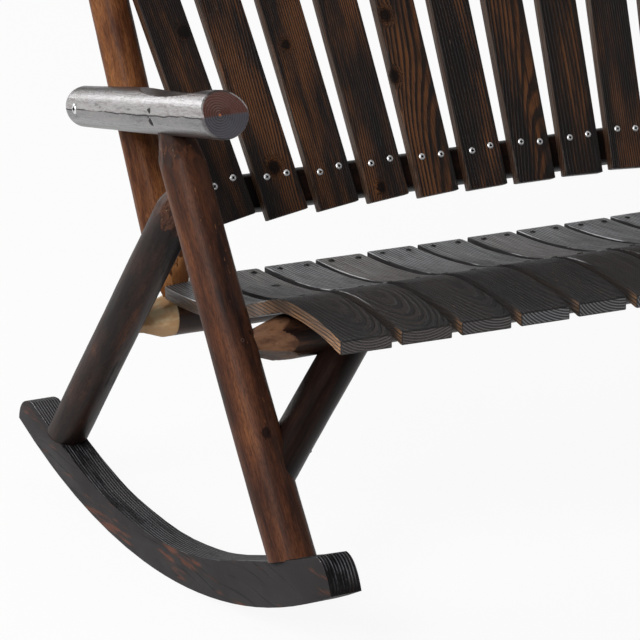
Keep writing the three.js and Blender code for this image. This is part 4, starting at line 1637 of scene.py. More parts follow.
@dataclass
class Seat:
    """The seat's slats and their screws.

    Attributes:
        eased: How far a slat's end face lies inside its section, the length of the bevel
            behind it, and how far the bevel's other end lies inside.
        shape: The top line, as shares of the depth and of the drop.
    """

    plan: Plan
    shop: Workshop
    width: float = 0.0616
    thickness: float = 0.0155
    depth: float = 0.505
    crest: float = 0.39
    drop: float = 0.0695
    rounding: float = 0.0012
    notch: float = 0.0405
    notch_setback: float = 0.0225
    screw_spacing: float = 0.035
    screw_setback: float = 0.019
    eased: Triple = (0.0016, 0.0007, 0.0005)
    slope_reach: float = 0.008
    steps: int = 64
    shape: tuple[Span, ...] = (
        (0.0, 0.17), (0.07, 0.07), (0.16, 0.01), (0.23, 0.0), (0.3, 0.05), (0.37, 0.19),
        (0.49, 0.48), (0.64, 0.785), (0.76, 0.915), (0.88, 0.985), (1.0, 1.0),
    )
    finish: BoardWood = BoardWood(
        name="charred_seat_board", dark=(0.0042, 0.0038, 0.004), body=(0.0105, 0.0088, 0.0088),
        warm=(0.024, 0.0172, 0.0148), bare=(0.37, 0.19, 0.088), relief=0.0014, gloss=0.3, matt=0.72,
        shine=0.45, ring=0.0031, char=0.47, pith=(0.012, 0.45), spread=(0.08, 0.03), side_bare=1.0,
        burnt_edge=0.2, half_width=0.031, warp=0.007, worn=0.8, silver=0.8,
        straight=(0.12, 0.2),
        knots=(Knot(-6, (0.0114, 0.3238, 0.4103), 0.0026),
               Knot(-5, (-0.014, 0.33, 0.33), 0.0022), Knot(1, (-0.012, 0.37, 0.22), 0.0028)),
    )
    steel: Steel = Steel("dark_screw_steel", (0.006, 0.0055, 0.0055), 0.66, 0.0)

    def line(self) -> list[Span]:
        """Returns the seat's top line, from the front edge backwards."""
        points = [(self.depth * share, self.crest - self.drop * fall) for share, fall in self.shape]
        return [spline(points, i / self.steps) for i in range(self.steps + 1)]

    def height(self, y: float) -> float:
        """Returns the height of the top line at a distance from the front edge."""
        return height_at(self.line(), y)

    def slat(self, number: float, notch_side: int = 0) -> Skin:
        """Builds one slat at the middle of the bench, with its front edge at zero.

        Args:
            number: The piece's number.
            notch_side: The sign of the side that loses its rear corner, or zero.

        Returns:
            The slat's surface.
        """
        board = Board(number)
        line = self.line()
        notch_y = self.depth - self.notch_setback
        for i, (y, z) in enumerate(line):
            before, after = line[max(i - 1, 0)], line[min(i + 1, self.steps)]
            slope = (after[1] - before[1]) / (after[0] - before[0])
            low = z - self.thickness * math.hypot(1.0, slope)
            places = [(y, 0.0)]
            if i in (0, self.steps):
                inward = self.eased[1] if i == 0 else -self.eased[1]
                places = sorted([(y, self.eased[0]), (y + inward, self.eased[2])])
            for along, inset in places:
                edges = [inset - self.width / 2, self.width / 2 - inset]
                if notch_side and along > notch_y:
                    edges[0 if notch_side < 0 else 1] -= notch_side * self.notch
                section = Section((edges[0], low + inset), (edges[1], z - inset), self.rounding)
                board.ring(section, along)
        return board.close()

    def placed(self, skin: Skin, rank: float) -> Skin:
        """Moves a slat to its rank in the row.

        Args:
            skin: The slat's surface.
            rank: Its rank, counted from the middle.

        Returns:
            The same surface, moved.
        """
        place = self.rank_place(rank)
        skin.corners = [place @ corner for corner in skin.corners]
        return skin

    def rank_place(self, rank: float) -> Matrix:
        """Returns the turn and the shift of a slat at a rank, counted from the middle."""
        shift = Vector((rank * self.plan.seat_pitch, self.plan.seat_front, 0.0))
        return Matrix.Translation(shift) @ Matrix.Rotation(rank * self.plan.seat_fan, 4, "Z")

    def screw_points(self) -> Spots:
        """Places the seat's screws, each a little off its line as by hand.

        Returns:
            The place and the facing of every screw.
        """
        spots = []
        ends = (self.plan.seat_slats - 1) / 2
        reach = self.slope_reach
        rails = self.plan.front_rail.y - self.plan.seat_front, self.depth - self.screw_setback
        for along in rails:
            slope = (self.height(along + reach) - self.height(along - reach)) / (2 * reach)
            normal = Vector((0.0, -slope, 1.0)).normalized()
            for index in range(self.plan.seat_slats):
                rank = index - ends
                for side in (-1, 1):
                    if along > self.depth / 2 and abs(rank) == ends and side * rank > 0:
                        continue
                    y = along + 0.0018 * math.sin(index * 5.3 + side)
                    local = Vector((side * self.screw_spacing / 2, y, self.height(y)))
                    spots.append((self.rank_place(rank) @ local, normal))
        return spots

    def build(self, rows: SlatRow, screws: "Screws") -> None:
        """Builds the slats and their screws.

        Args:
            rows: The tree that repeats slats.
            screws: The maker of screws.
        """
        count = self.plan.seat_slats - 2
        mesh = self.slat(0.0).mesh("seat_slat")
        row = self.shop.grown("seat_slats", mesh, rows, {
            "Count": count, "Pitch": self.plan.seat_pitch, "Fan": -self.plan.seat_fan,
            "Length": self.depth, "Crown": 0.0, "Unevenness": 0.0011, "First piece": 0.0,
            "Turn": (0.0, 0.0, 0.0), "Place": (0.0, self.plan.seat_front, 0.0), "Seed": 4,
            "Material": self.shop.material(self.finish),
        })
        names = [f"seat_slat_{i:02d}" for i in range(2, count + 2)]
        self.shop.piece("seat_slats", row, self.finish, "charred_board", *names)
        for side, index in ((Side.LEFT, 1), (Side.RIGHT, self.plan.seat_slats)):
            rank = index - (self.plan.seat_slats + 1) / 2
            skin = self.placed(self.slat(rank, side.value), rank)
            name = f"seat_slat_{index:02d}"
            self.shop.piece(f"{side.word}_end_slat", skin.mesh(name), self.finish,
                            "charred_board", name)
        screws.set_row("seat_screws", self.screw_points(), self.steel, "black_steel", 0.9)


@dataclass
class Back:
    """The back's slats and their screws.

    Attributes:
        tail: How far the slats reach below the face's foot.
        crown: How far the outermost slats end below the middle one.
        bevel: The length of the bevel at the slats' foot.
        flat_top: The least width of the arched top, as a share of the slat's.
        step_in: How much of the width the arch leaves at its end, as a share.
    """

    plan: Plan
    shop: Workshop
    width: float = 0.055
    tail: float = 0.034
    rounding: float = 0.002
    crown: float = 0.080
    screw_spacing: float = 0.027
    screw_rise: float = 0.014
    bevel: float = 0.0008
    foot_inset: float = 0.0016
    top_inset: float = 0.0012
    flat_top: float = 0.22
    step_in: float = 0.14
    steps: int = 40
    arch_steps: int = 8
    finish: BoardWood = BoardWood(
        name="brushed_back_board", dark=(0.0055, 0.0038, 0.0036), body=(0.036, 0.0155, 0.0085),
        warm=(0.15, 0.057, 0.02), bare=(0.26, 0.17, 0.12), relief=0.0006, gloss=0.36, matt=0.58,
        shine=0.2, ring=0.0031, char=0.46, pith=(0.09, -0.03), spread=(0.15, 0.05), side_bare=0.45,
        burnt_edge=1.0, half_width=0.0275, vary=0.7,
        shifts=((87.0, -0.16), (89.0, 0.05), (90.0, 0.07), (91.0, -0.02), (92.0, -0.1),
                (93.0, -0.11), (94.0, -0.09)),
        knots=(Knot(87, (0.017, 0.0, 0.23), 0.004), Knot(88, (0.0, 0.0, 0.028), 0.0045),
               Knot(89, (-0.0085, 0.0, 0.1833), 0.003),
               Knot(90, (-0.0085, 0.0, -0.0185), 0.003),
               Knot(91, (-0.017, 0.0, 0.1989), 0.004),
               Knot(91, (-0.0255, 0.0, 0.1212), 0.004), Knot(96, (0.01, 0.0, 0.26), 0.004)),
    )
    steel: Steel = Steel("bright_screw_steel", (0.9, 0.9, 0.91), 0.38)

    def slat(self) -> Skin:
        """Builds the middle slat flat, its face at zero height and its foot at zero distance.

        Returns:
            The slat's surface.
        """
        board = Board(0.0)
        arch = self.width / 4
        arch_foot = self.plan.back_length - arch
        steps, turns = self.steps, self.arch_steps
        stops = [-self.tail, -self.tail + self.bevel]
        stops += [-self.tail + (arch_foot + self.tail) * (i + 1) / steps for i in range(steps)]
        stops += [arch_foot + arch * math.sin(math.pi / 2 * i / turns) for i in range(1, turns + 1)]
        insets = {stops[0]: self.foot_inset, stops[-1]: self.top_inset}
        for y in stops:
            half, inset = self.width / 2, insets.get(y, 0.0)
            if y > arch_foot:
                round_share = math.sqrt(max(0.0, 1.0 - ((y - arch_foot) / arch) ** 2))
                half *= max(self.flat_top, round_share * (1.0 - self.step_in) + self.step_in)
            low = -half + inset, -self.plan.slat_thickness + inset
            board.ring(Section(low, (half - inset, -inset), self.rounding, 3, 6), y)
        return board.close()

    def screw_points(self, level: float) -> Spots:
        """Places the screws at a rail, each a little off its line as by hand.

        Args:
            level: The distance up the slats' face from its foot.

        Returns:
            The place and the facing of every screw.
        """
        spots = []
        across = Vector((1.0, 0.0, 0.0))
        for index in range(self.plan.back_slats):
            rank = index - (self.plan.back_slats - 1) / 2
            angle = rank * self.plan.back_fan
            up = across * math.sin(angle) + self.plan.slat_up * math.cos(angle)
            sideways = across * math.cos(angle) - self.plan.slat_up * math.sin(angle)
            foot = self.plan.face_foot + across * (rank * self.plan.back_pitch)
            middle = foot + up * (level / math.cos(angle))
            for side in (-1, 1):
                hand = 0.0016 * math.sin(index * 3.7 + side * 2.1)
                place = middle + sideways * (side * self.screw_spacing / 2) + up * hand
                spots.append((place, self.plan.slat_out))
        return spots

    def build(self, rows: SlatRow, screws: "Screws") -> None:
        """Builds the slats and their screws.

        Args:
            rows: The tree that repeats slats.
            screws: The maker of screws.
        """
        row = self.shop.grown("back_slats", self.slat().mesh("back_slat"), rows, {
            "Count": self.plan.back_slats, "Pitch": self.plan.back_pitch,
            "Fan": self.plan.back_fan, "Length": self.plan.back_length, "Crown": self.crown,
            "Unevenness": 0.0016, "First piece": 93.0, "Seed": 11,
            "Turn": (math.pi / 2 - self.plan.recline, 0.0, 0.0),
            "Place": tuple(self.plan.face_foot), "Material": self.shop.material(self.finish),
        })
        names = [f"back_slat_{i:02d}" for i in range(1, self.plan.back_slats + 1)]
        self.shop.piece("back_slats", row, self.finish, "umber_board", *names)
        spots = self.screw_points(self.screw_rise)
        upper = (self.plan.upper_rail - self.plan.lower_rail).dot(self.plan.slat_up)
        spots += self.screw_points(upper)
        screws.set_row("back_screws", spots, self.steel, "silver_steel", 1.0)


@dataclass
class Screws:
    """Makes rows of screw heads.

    Attributes:
        shop: The workshop.
        tree: The tree that sets the heads.
        radius: The head's radius.
        height: The head's height.
        sides: The corners of each ring.
        recess: The reach of the cross recess.
        depth: The recess's depth.
        sunk: How far the head's rim and a shank's neck lie in the wood.
    """

    shop: Workshop
    tree: ScrewRow
    radius: float = 0.0042
    height: float = 0.0013
    sides: int = 12
    recess: float = 0.0029
    depth: float = 0.0011
    sunk: float = 0.0004

    def head(self, shank: float) -> bpy.types.Object:
        """Builds one domed head with a cross recess.

        Args:
            shank: The length of the shank below it, or zero for none.

        Returns:
            The head, as an object that isn't part of the scene's pieces.
        """
        skin = Skin()
        rings = [(-self.sunk, 1.0), (self.height * 0.4, 1.0), (self.height, 0.72)]
        if shank:
            rings = [(-shank, 0.3), (-shank * 0.9, 0.5), (-self.sunk, 0.5)] + rings
        count = range(self.sides)
        loops = [[self._corner(skin, k, self.radius * share, z, 0.0) for k in count]
                 for z, share in rings]
        # The recess's floor is marked for painted shade.
        for dip, dark in ((0.0, 0.0), (self.depth, 1.0)):
            loops.append([self._corner(skin, k, self.recess * (0.55 if k % 3 else 1.0),
                                       self.height - dip, dark) for k in count])
        for first, second in zip(loops, loops[1:]):
            skin.bridge(first, second)
        skin.faces.append(loops[-1])
        skin.faces.append(loops[0][::-1])
        return bpy.data.objects.new("screw_head", skin.mesh("screw_head", 30.0))

    def _corner(self, skin: Skin, k: int, radius: float, z: float, dark: float) -> int:
        """Adds one corner of a ring and returns its number."""
        angle = math.tau * k / self.sides
        place = Vector((radius * math.cos(angle), radius * math.sin(angle), z))
        return skin.corner(place, place, dark)

    def set_row(self, name: str, spots: Spots, steel: Steel, slot: str, size: float,
                shank: float = 0.0, nodes: tuple[str, ...] = ()) -> None:
        """Sets a head on each spot.

        Args:
            name: The piece's name.
            spots: The place and the facing of each screw.
            steel: The screws' finish.
            slot: A material slot's name, handed on to the workshop.
            size: The heads' size against the usual one.
            shank: The length of each screw's shank, or zero for none.
            nodes: The CAD nodes that the row stands for.
        """
        mesh = bpy.data.meshes.new(f"{name}_points")
        mesh.from_pydata([tuple(place) for place, _ in spots], [], [])
        facing = mesh.attributes.new("facing", "FLOAT_VECTOR", "POINT")
        facing.data.foreach_set("vector", [part for _, normal in spots for part in normal])
        head = self.head(shank / size)
        row = self.shop.grown(name, mesh, self.tree, {
            "Head": head, "Size": size, "Seed": len(name), "Material": self.shop.material(steel),
        })
        bpy.data.objects.remove(head)
        self.shop.piece(name, row, steel, slot, *nodes)


@dataclass
class Frame:
    """The logs and the rockers that carry the seat and the back.

    Attributes:
        neck: The radius of a leg where it enters the arm or the other leg.
        tenon: The radius of a rail's or a post's tenon.
        sunk: How far a leg's foot lies below the rocker's top.
        dish: The length and the depth of the arm's dish, and its distance from the front.
        bevel: How far the bevel of the arm's front goes back over the log's radius.
    """

    plan: Plan
    shop: Workshop
    front_radius: float = 0.0264
    rear_radius: float = 0.0244
    rail_radius: float = 0.0259
    rear_rail_radius: float = 0.0252
    back_radius: float = 0.0243
    arm_radius: float = 0.0268
    brace_radius: float = 0.0237
    neck: float = 0.017
    tenon: float = 0.013
    back_tenon: float = 0.011
    sunk: float = 0.0006
    dish: Triple = (0.245, 0.0075, 0.165)
    bevel: float = 0.022
    rail_inset: float = 0.022
    slope_reach: float = 0.02
    rocker_ease: float = 0.0014
    post_log: LogWood = LogWood(
        name="amber_peeled_log", dark=(0.022, 0.0075, 0.004), body=(0.108, 0.037, 0.0145),
        warm=(0.25, 0.095, 0.034), bare=(0.45, 0.2, 0.075), relief=0.0003, gloss=0.4, matt=0.58,
        shine=0.08, char=0.16, scorch=0.4, flecks=0.6,
    )
    leg_log: LogWood = LogWood(
        name="umber_peeled_log", dark=(0.016, 0.008, 0.0065), body=(0.06, 0.023, 0.0135),
        warm=(0.13, 0.047, 0.022), bare=(0.26, 0.1, 0.038), relief=0.0003, gloss=0.4, matt=0.6,
        shine=0.1, char=0.26, scorch=0.8, flecks=0.9, dusk=(0.34, 0.5),
        knots=(Knot(0.5, (-0.0112, 0.0235, 0.138), 0.0026),
               Knot(0.5, (0.006, 0.0253, 0.25), 0.0012)),
    )
    rear_log: LogWood = LogWood(
        name="smoked_peeled_log", dark=(0.0065, 0.005, 0.0048), body=(0.017, 0.0105, 0.009),
        warm=(0.044, 0.022, 0.016), bare=(0.17, 0.07, 0.04),
        shine=0.08, char=0.42, scorch=0.55, flecks=0.4,
    )
    rail_log: LogWood = LogWood(
        name="black_peeled_log", dark=(0.005, 0.003, 0.0026), body=(0.013, 0.0058, 0.0042),
        warm=(0.09, 0.04, 0.022), bare=(0.22, 0.11, 0.06), gloss=0.34, matt=0.55,
        shine=0.16, char=0.6, scorch=0.15, flecks=0.15,
    )
    brace_log: LogWood = LogWood(
        name="sooty_peeled_log", dark=(0.004, 0.0026, 0.0024), body=(0.0075, 0.0036, 0.0028),
        warm=(0.02, 0.0085, 0.0055), bare=(0.05, 0.02, 0.011), gloss=0.34, matt=0.55,
        shine=0.16, char=0.5, scorch=0.5, flecks=0.1,
    )
    pale_rail_log: LogWood = LogWood(
        name="tan_whittled_log", dark=(0.01, 0.0055, 0.004), body=(0.028, 0.0125, 0.008),
        warm=(0.1, 0.042, 0.022), bare=(0.25, 0.12, 0.06), gloss=0.36, matt=0.6,
        shine=0.2, char=0.4, scorch=0.05, flecks=0.2, fresh=((0.8, 0.48, 0.24), (0.98, 0.76, 0.47)),
        knots=(Knot(18, (0.0191, -0.011, 0.0458), 0.0009),),
    )
    # Its two sides carry a painted reflection, a pale sheen.
    arm_log: LogWood = LogWood(
        name="silvered_arm_log", dark=(0.009, 0.007, 0.007), body=(0.03, 0.019, 0.016),
        warm=(0.034, 0.025, 0.023), bare=(0.062, 0.05, 0.047), relief=0.0003, gloss=0.32, matt=0.46,
        shine=0.4, coat=0.2, char=0.4, scorch=0.1, flecks=0.2, film=1.0,
        knots=(Knot(9.5, (-0.0255, -0.0085, 0.184), 0.0021),
               Knot(9.5, (-0.026, -0.002, 0.187), 0.0009),
               Knot(9.5, (-0.0265, 0.0045, 0.182), 0.0015),
               Knot(9.5, (-0.0265, 0.0052, 0.187), 0.0009)),
    )
    rocker_board: BoardWood = BoardWood(
        name="charred_rocker_board", dark=(0.005, 0.0045, 0.005), body=(0.0105, 0.0095, 0.01),
        warm=(0.024, 0.017, 0.015), bare=(0.026, 0.023, 0.0235), relief=0.0016, gloss=0.5, matt=0.7,
        shine=0.1, ring=0.0026, char=0.5, pith=(0.9, 0.04), spread=(0.02, 0.02), side_bare=1.0,
        half_width=0.0185, glow=(0.15, 0.055, 0.032), warp=0.004, worn=1.0, fuzz=0.9, layers=20.0,
        silver=0.5, silver_start=-0.6, straight=(-9.0, -8.0),
    )
    pin_steel: Steel = Steel("sunk_screw_steel", (0.05, 0.02, 0.011), 0.75, 0.0)
    bolt_steel: Steel = Steel("bright_bolt_steel", (0.78, 0.78, 0.79), 0.28)

    def build(self, screws: Screws) -> None:
        """Builds every log, both rockers and the screws that show.

        Args:
            screws: The maker of screws.
        """
        for side in Side:
            self._rocker(side)
            self._front_leg(side)
            self._rear_leg(side)
            self._post(side)
            self._arm(side)
            self._brace(side)
        self._rails()
        self._screws(screws)

    def _make(self, name: str, timber: Log, finish: LogWood, slot: str) -> None:
        """Hands a log to the bench under its CAD node's name."""
        mesh = timber.skin().mesh(name, timber.sharp)
        self.shop.piece(f"{name}_log", mesh, finish, slot, name)

    def _rocker(self, side: Side) -> None:
        """Builds a rocker from its CAD outline, with eased edges.

        Args:
            side: Its side.
        """
        name = f"{side.word}_rocker"
        carrier = new_object("rocker_carrier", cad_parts[name].data.copy())
        weld = carrier.modifiers.new("weld", "WELD")
        weld.merge_threshold = 0.00002
        flat = carrier.modifiers.new("flat", "DECIMATE")
        flat.decimate_type = "DISSOLVE"
        flat.angle_limit = math.radians(1.5)
        eased = carrier.modifiers.new("eased", "BEVEL")
        eased.width = self.rocker_ease
        eased.segments = 2
        eased.limit_method = "ANGLE"
        eased.angle_limit = math.radians(50)
        depsgraph = bpy.context.evaluated_depsgraph_get()
        evaluated = carrier.evaluated_get(depsgraph)
        mesh = bpy.data.meshes.new_from_object(evaluated, depsgraph=depsgraph)
        bpy.data.objects.remove(carrier)
        mesh.shade_smooth()
        mesh.set_sharp_from_angle(angle=math.radians(35))
        middle = self.plan.front_foot.x * side.value
        grain = [part for v in mesh.vertices for part in (v.co.x - middle, v.co.z, v.co.y)]
        Skin.mark(mesh, Mark.GRAIN, "FLOAT_VECTOR", grain)
        Skin.mark(mesh, Mark.PIECE, "FLOAT", [40.0 + side.value] * len(mesh.vertices))
        self.shop.piece(f"{name}_board", mesh, self.rocker_board, "charred_rocker", name)

    def _foot_cut(self, foot: Vector, direction: Vector, side: Side) -> PlaneCut:
        """Seats a leg's foot on the rocker's top.

        Args:
            foot: The foot, on the right.
            direction: The leg's direction, on the right.
            side: The leg's side.

        Returns:
            The cut.
        """
        top, reach = self.plan.rocker_top, self.slope_reach
        slope = (top(foot.y + reach) - top(foot.y - reach)) / (2 * reach)
        place = side.of(foot) - Vector((0.0, 0.0, self.sunk))
        normal = Vector((0.0, slope, -1.0)).normalized()
        return PlaneCut(place, normal, side.of(direction) * -1.0)

    def _front_leg(self, side: Side) -> None:
        """Builds a front leg, with its whittled neck under the arm.

        Args:
            side: Its side.
        """
        plan, r = self.plan, self.front_radius
        foot, top = side.of(plan.front_foot), side.of(plan.arm_on_leg)
        shoulder = (top - foot).length - 0.027
        worked = [
            Whittling(shoulder + 0.004, shoulder - 0.052, self.neck * 1.2, r * 1.02, 7, 3.0),
            Whittling(shoulder + 0.004, shoulder - 0.026, self.neck, r * 0.9, 9, 5.0),
        ]
        profile = [(-0.03, r * 1.02), (shoulder * 0.5, r), (shoulder + 0.01, r * 0.98)]
        cut = self._foot_cut(plan.front_foot, plan.front_leg, side)
        timber = Log(foot, top, profile, 1.0 + side.value * 0.5, worked, [cut])
        self._make(f"{side.word}_front_leg", timber, self.leg_log, "warm_log")

    def _rear_leg(self, side: Side) -> None:
        """Builds a rear leg, with its whittled end in the front leg's back.

        Args:
            side: Its side.
        """
        plan, r = self.plan, self.rear_radius
        foot, top = side.of(plan.rear_foot), side.of(plan.legs_meet)
        length = (top - foot).length
        shoulder = length - self.front_radius
        worked = [
            Whittling(shoulder + 0.02, shoulder - 0.05, self.neck * 1.08, r * 1.02, 7, 8.0),
            Whittling(shoulder + 0.02, shoulder - 0.016, self.tenon, r * 0.88, 8, 2.0),
        ]
        profile = [(-0.04, r * 1.02), (length - 0.004, r * 0.98)]
        cut = self._foot_cut(plan.rear_foot, plan.rear_leg, side)
        timber = Log(foot, top, profile, 4.0 + side.value * 0.5, worked, [cut])
        self._make(f"{side.word}_rear_leg", timber, self.rear_log, "dark_log")

    def _post(self, side: Side) -> None:
        """Builds a back post, with its whittled foot in the rear rail and its rounded top.

        Args:
            side: Its side.
        """
        plan, r = self.plan, self.plan.post_radius
        foot, top = side.of(plan.post_foot), side.of(plan.post_top)
        length = (top - foot).length - 0.004
        worked = [
            Whittling(0.024, 0.072, self.tenon, r * 1.02, 7, 6.0),
            Whittling(length + 0.002, length - 0.022, r * 0.3, r * 0.98, 8, 4.0),
        ]
        profile = [(0.012, r), (length, r * 0.98)]
        timber = Log(foot, top, profile, 7.0 + side.value * 0.5, worked)
        self._make(f"{side.word}_back_post", timber, self.post_log, "warm_log")

    def _arm(self, side: Side) -> None:
        """Builds an arm, with its bevelled front end and the dish on its top.

        Args:
            side: Its side.
        """
        plan, r = self.plan, self.arm_radius
        front, rear = side.of(plan.arm_front), side.of(plan.arm_rear)
        direction = (rear - front).normalized()
        length = (rear - front).length
        up = Vector((0.0, -direction.z, direction.y)).normalized()
        reach, depth, setback = self.dish
        dish_radius = (reach ** 2 / 4 + depth ** 2) / (2 * depth)
        centre = front + direction * setback + up * (r - depth + dish_radius)
        dish = DishCut(centre, direction, up, dish_radius)
        slant = math.atan2(self.bevel, r)
        normal = (up * math.sin(slant) - direction * math.cos(slant)).normalized()
        bevel = PlaneCut(front, normal, direction * -1.0)
        rear_r = plan.arm_radius
        profile = [
            (0.0, r * 0.93), (0.002, r * 0.97), (0.006, r * 0.995), (length * 0.5, r * 0.975),
            (length - 0.011, rear_r * 0.985), (length - 0.004, rear_r * 0.88),
            (length, rear_r * 0.68),
        ]
        fine = setback - reach * 0.6, setback + reach * 0.6
        timber = Log(front, rear, profile, 10.0 + side.value * 0.5, [], [bevel, dish], sides=160,
                     step=0.004, wobble=0.014, fine=fine, sharp=22.0)
        self._make(f"{side.word}_arm", timber, self.arm_log, "dark_log")

    def _brace(self, side: Side) -> None:
        """Builds the short brace between a front leg and the front rail.

        Args:
            side: Its side.
        """
        foot, head = side.of(self.plan.brace_foot), side.of(self.plan.brace_head)
        profile = [(0.0, self.brace_radius), ((head - foot).length - 0.004, self.brace_radius)]
        timber = Log(foot, head, profile, 13.0 + side.value * 0.5)
        self._make(f"{side.word}_brace", timber, self.brace_log, "warm_log")

    def _rail(self, name: str, joint: Vector, radius: float, cone: float, tip: float,
              number: float, finish: LogWood, slot: str, cuts: list[Cut],
              peel: float = 0.0) -> None:
        """Builds a rail with whittled conical ends.

        Args:
            name: Its CAD node.
            joint: Where it ends on the right, on the other log's axis.
            radius: Its radius.
            cone: The cone's length.
            tip: The radius of the tenon.
            number: The piece's number.
            finish: Its finish.
            slot: Its material slot.
            cuts: Its cuts.
            peel: How far from each end its wood is bare all round.
        """
        start, end = Side.LEFT.of(joint), joint
        near, turn = self.rail_inset, math.pi / 6
        far = (end - start).length - near
        worked = [
            Whittling(near, near + cone, tip, radius, 6, number, turn),
            Whittling(far, far - cone, tip, radius, 6, number + 1.0, turn),
        ]
        profile = [(near - 0.008, radius * 0.99), (far + 0.008, radius * 0.99)]
        timber = Log(start, end, profile, number, worked, cuts, step=0.012, peel=peel)
        self._make(name, timber, finish, slot)

    def _rails(self) -> None:
        """Builds the two seat rails and the two back rails."""
        plan = self.plan
        joint = Vector((plan.front_joint.x, plan.front_rail.y, plan.front_rail.z))
        self._rail("front_seat_rail", joint, self.rail_radius, 0.046, self.tenon, 16.0,
                   self.rail_log, "warm_log", [])
        joint = Vector((plan.rear_joint.x, plan.rear_rail.y, plan.rear_rail.z))
        self._rail("rear_seat_rail", joint, self.rear_rail_radius, 0.036, self.tenon, 18.0,
                   self.pale_rail_log, "dark_log", [], 0.063)
        for name, rail, flat, number in (
            ("lower_back_rail", plan.lower_rail, plan.lower_flat, 20.0),
            ("upper_back_rail", plan.upper_rail, plan.upper_flat, 22.0),
        ):
            on_post = plan.at_height(plan.post_foot, plan.post, rail.z)
            joint = Vector((on_post.x, rail.y, rail.z))
            planed = PlaneCut(rail + plan.slat_out * flat, plan.slat_out, plan.slat_out)
            self._rail(name, joint, self.back_radius, 0.032, self.back_tenon, number,
                       self.brace_log, "warm_log", [planed])

    def _screws(self, screws: Screws) -> None:
        """Sets the bolts in the arms and the pins in the legs.

        Args:
            screws: The maker of screws.
        """
        plan = self.plan
        post = plan.at_height(plan.post_foot, plan.post, plan.arm_beside_post.z)
        inward = (post - plan.arm_beside_post).normalized()
        head = plan.arm_beside_post - inward * (plan.arm_radius * 0.985)
        spots = [(side.of(head), side.of(inward) * -1.0) for side in Side]
        nodes = tuple(f"{side.word}_arm_bolt" for side in Side)
        screws.set_row("arm_bolts", spots, self.bolt_steel, "silver_steel", 1.5, 0.068, nodes)
        for name, joint, leg, radius, facing in (
            ("front_tenon_screw", plan.front_joint, plan.front_leg, self.front_radius, -1.0),
            ("rear_tenon_screw", plan.rear_joint, plan.rear_leg, self.rear_radius, 1.0),
        ):
            outward = Vector((0.0, facing * leg.z, -facing * leg.y)).normalized()
            spots = [(side.of(joint) + outward * (radius - 0.0012), outward) for side in Side]
            nodes = tuple(f"{side.word}_{name}" for side in Side)
            screws.set_row(f"{name}s", spots, self.pin_steel, "black_steel", 0.62,
                           radius + 0.012, nodes)


@dataclass(frozen=True)
class Lamp:
    """One soft lamp that faces the seat.

    Attributes:
        name: Its name.
        place: Its place.
        width: Its width.
        height: Its height.
        power: Its power, in watts.
        aim: What it faces.
    """

    name: str
    place: Triple
    width: float
    height: float
    power: float
    aim: Triple = (-0.2, 0.0, 0.4)

    def hang(self) -> None:
        """Hangs the lamp."""
        data = bpy.data.lights.new(self.name, "AREA")
        data.shape = "RECTANGLE"
        data.size = self.width
        data.size_y = self.height
        data.energy = self.power
        lamp = new_object(self.name, data)
        lamp.location = self.place
        lamp.rotation_mode = "QUATERNION"
        aim = Vector(self.aim) - Vector(self.place)
        lamp.rotation_quaternion = aim.to_track_quat("-Z", "Y")


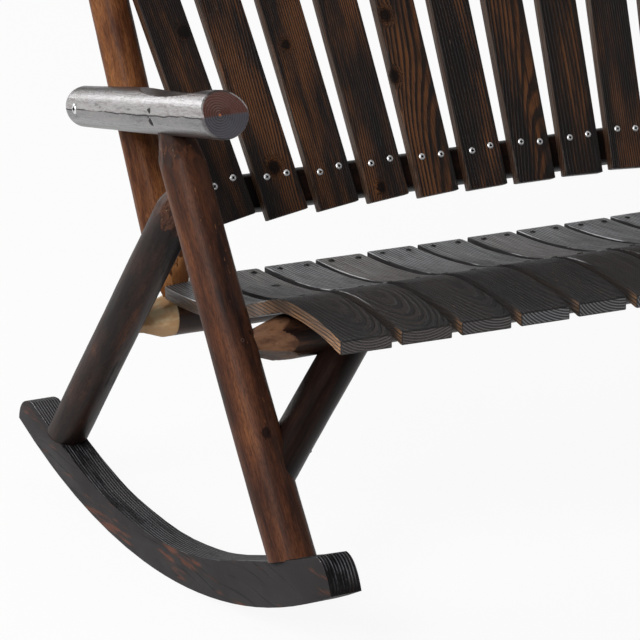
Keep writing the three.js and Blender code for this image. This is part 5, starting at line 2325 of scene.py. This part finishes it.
@dataclass(frozen=True)
class Studio:
    """The floor, the light and the camera at the photo's angle.

    Attributes:
        eye: The camera's place, in metres.
        azimuth: The direction that it looks from, in degrees.
        elevation: Its height over the horizon, in degrees.
        roll: Its roll, in degrees.
        lens: Its focal length, in millimetres.
        shift: The framing's shift, as shares of the width.
        floor_reach: How far the floor goes from the middle, in metres.
        lamps: The lamps.
    """

    eye: Triple = (-2.1736, -3.4393, 1.3902)
    azimuth: float = -28.469
    elevation: float = 14.015
    roll: float = -0.384
    lens: float = 192.15
    shift: Span = (-0.0692, -0.1811)
    floor_reach: float = 30.0
    lamps: tuple[Lamp, ...] = (
        Lamp("key", (-3.6, -3.0, 2.9), 1.6, 1.6, 168.0),
        Lamp("fill", (3.4, -2.6, 2.0), 2.2, 1.6, 13.0),
        Lamp("left", (-4.2, 0.8, 1.7), 1.8, 1.8, 66.0),
        Lamp("top", (0.4, 1.0, 3.9), 2.4, 2.4, 20.0),
        Lamp("left_rim", (-1.5, 4.3, 2.0), 2.3, 2.5, 68.0),
        Lamp("right_rim", (2.2, 4.3, 1.5), 2.8, 1.4, 13.0),
    )

    def build(self) -> None:
        """Sets the whole studio up."""
        self._camera()
        self._floor()
        self._world()
        for lamp in self.lamps:
            lamp.hang()
        bpy.context.scene.view_settings.view_transform = "Standard"

    def _camera(self) -> None:
        """Makes the camera."""
        data = bpy.data.cameras.new("camera")
        data.lens = self.lens
        data.sensor_width = 36.0
        data.shift_x, data.shift_y = self.shift
        data.clip_end = 100.0
        camera = new_object("camera", data)
        a, e = math.radians(self.azimuth), math.radians(self.elevation)
        back = Vector((math.sin(a) * math.cos(e), -math.cos(a) * math.cos(e), math.sin(e)))
        right = (back * -1.0).cross(Vector((0.0, 0.0, 1.0))).normalized()
        up = right.cross(back * -1.0)
        cosine, sine = math.cos(math.radians(self.roll)), math.sin(math.radians(self.roll))
        axes = right * cosine + up * sine, up * cosine - right * sine, back
        turn = Matrix(axes).transposed().to_4x4()
        camera.matrix_world = Matrix.Translation(Vector(self.eye)) @ turn
        bpy.context.scene.camera = camera

    def _floor(self) -> None:
        """Makes the pale floor, which keeps the bench's shadow."""
        mesh = bpy.data.meshes.new("floor")
        reach = self.floor_reach
        corners = [(-reach, -reach, 0), (reach, -reach, 0), (reach, reach, 0), (-reach, reach, 0)]
        mesh.from_pydata(corners, [], [(0, 1, 2, 3)])
        floor = new_object("floor", mesh)
        material = bpy.data.materials.new("pale_floor")
        graph = Graph.emptied(material)
        seen = graph.ray("Camera") + graph.ray("Glossy") + graph.ray("Transmission")
        seen = seen.math("MINIMUM", 1.0)
        diffuse = graph.add("ShaderNodeBsdfDiffuse", {}, {"Color": graph.grey(seen * 0.56 + 0.3)})
        glow = graph.add("ShaderNodeEmission", {}, {"Color": (1.0, 1.0, 1.0, 1.0), "Strength": 1.0})
        inputs = {0: seen * 0.92, 1: diffuse, 2: glow}
        graph.end("ShaderNodeOutputMaterial", graph.add("ShaderNodeMixShader", {}, inputs))
        mesh.materials.append(material)

    @staticmethod
    def _world() -> None:
        """Makes the dim, even surroundings, which look white from afar."""
        world = bpy.data.worlds.new("studio")
        bpy.context.scene.world = world
        graph = Graph.emptied(world)
        seen = graph.ray("Camera") + graph.ray("Transmission")
        strength = seen * 0.9 + graph.ray("Glossy") * 0.1 + 0.1
        tint = {"Color": (0.98, 0.99, 1.0, 1.0), "Strength": strength}
        graph.end("ShaderNodeOutputWorld", graph.add("ShaderNodeBackground", {}, tint))


def dress_hidden(shop: Workshop) -> None:
    """Gives the CAD bolts that nobody sees their steel.

    Args:
        shop: The workshop.
    """
    black = Steel("black_bolt_steel", (0.05, 0.05, 0.05), 0.45)
    for name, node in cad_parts.items():
        if name.endswith(("leg_bolt", "head_screw", "foot_screw")):
            node.data.materials.clear()
            node.data.materials.append(shop.material(black))


def main() -> None:
    """Builds the bench's looks and the studio round them."""
    logging.basicConfig(level=logging.INFO, format="%(name)s %(message)s")
    plan = Plan()
    shop = Workshop()
    screws = Screws(shop, ScrewRow())
    rows = SlatRow()
    Frame(plan, shop).build(screws)
    Seat(plan, shop).build(rows, screws)
    Back(plan, shop).build(rows, screws)
    dress_hidden(shop)
    Studio().build()


if __name__ == "__main__":
    main()
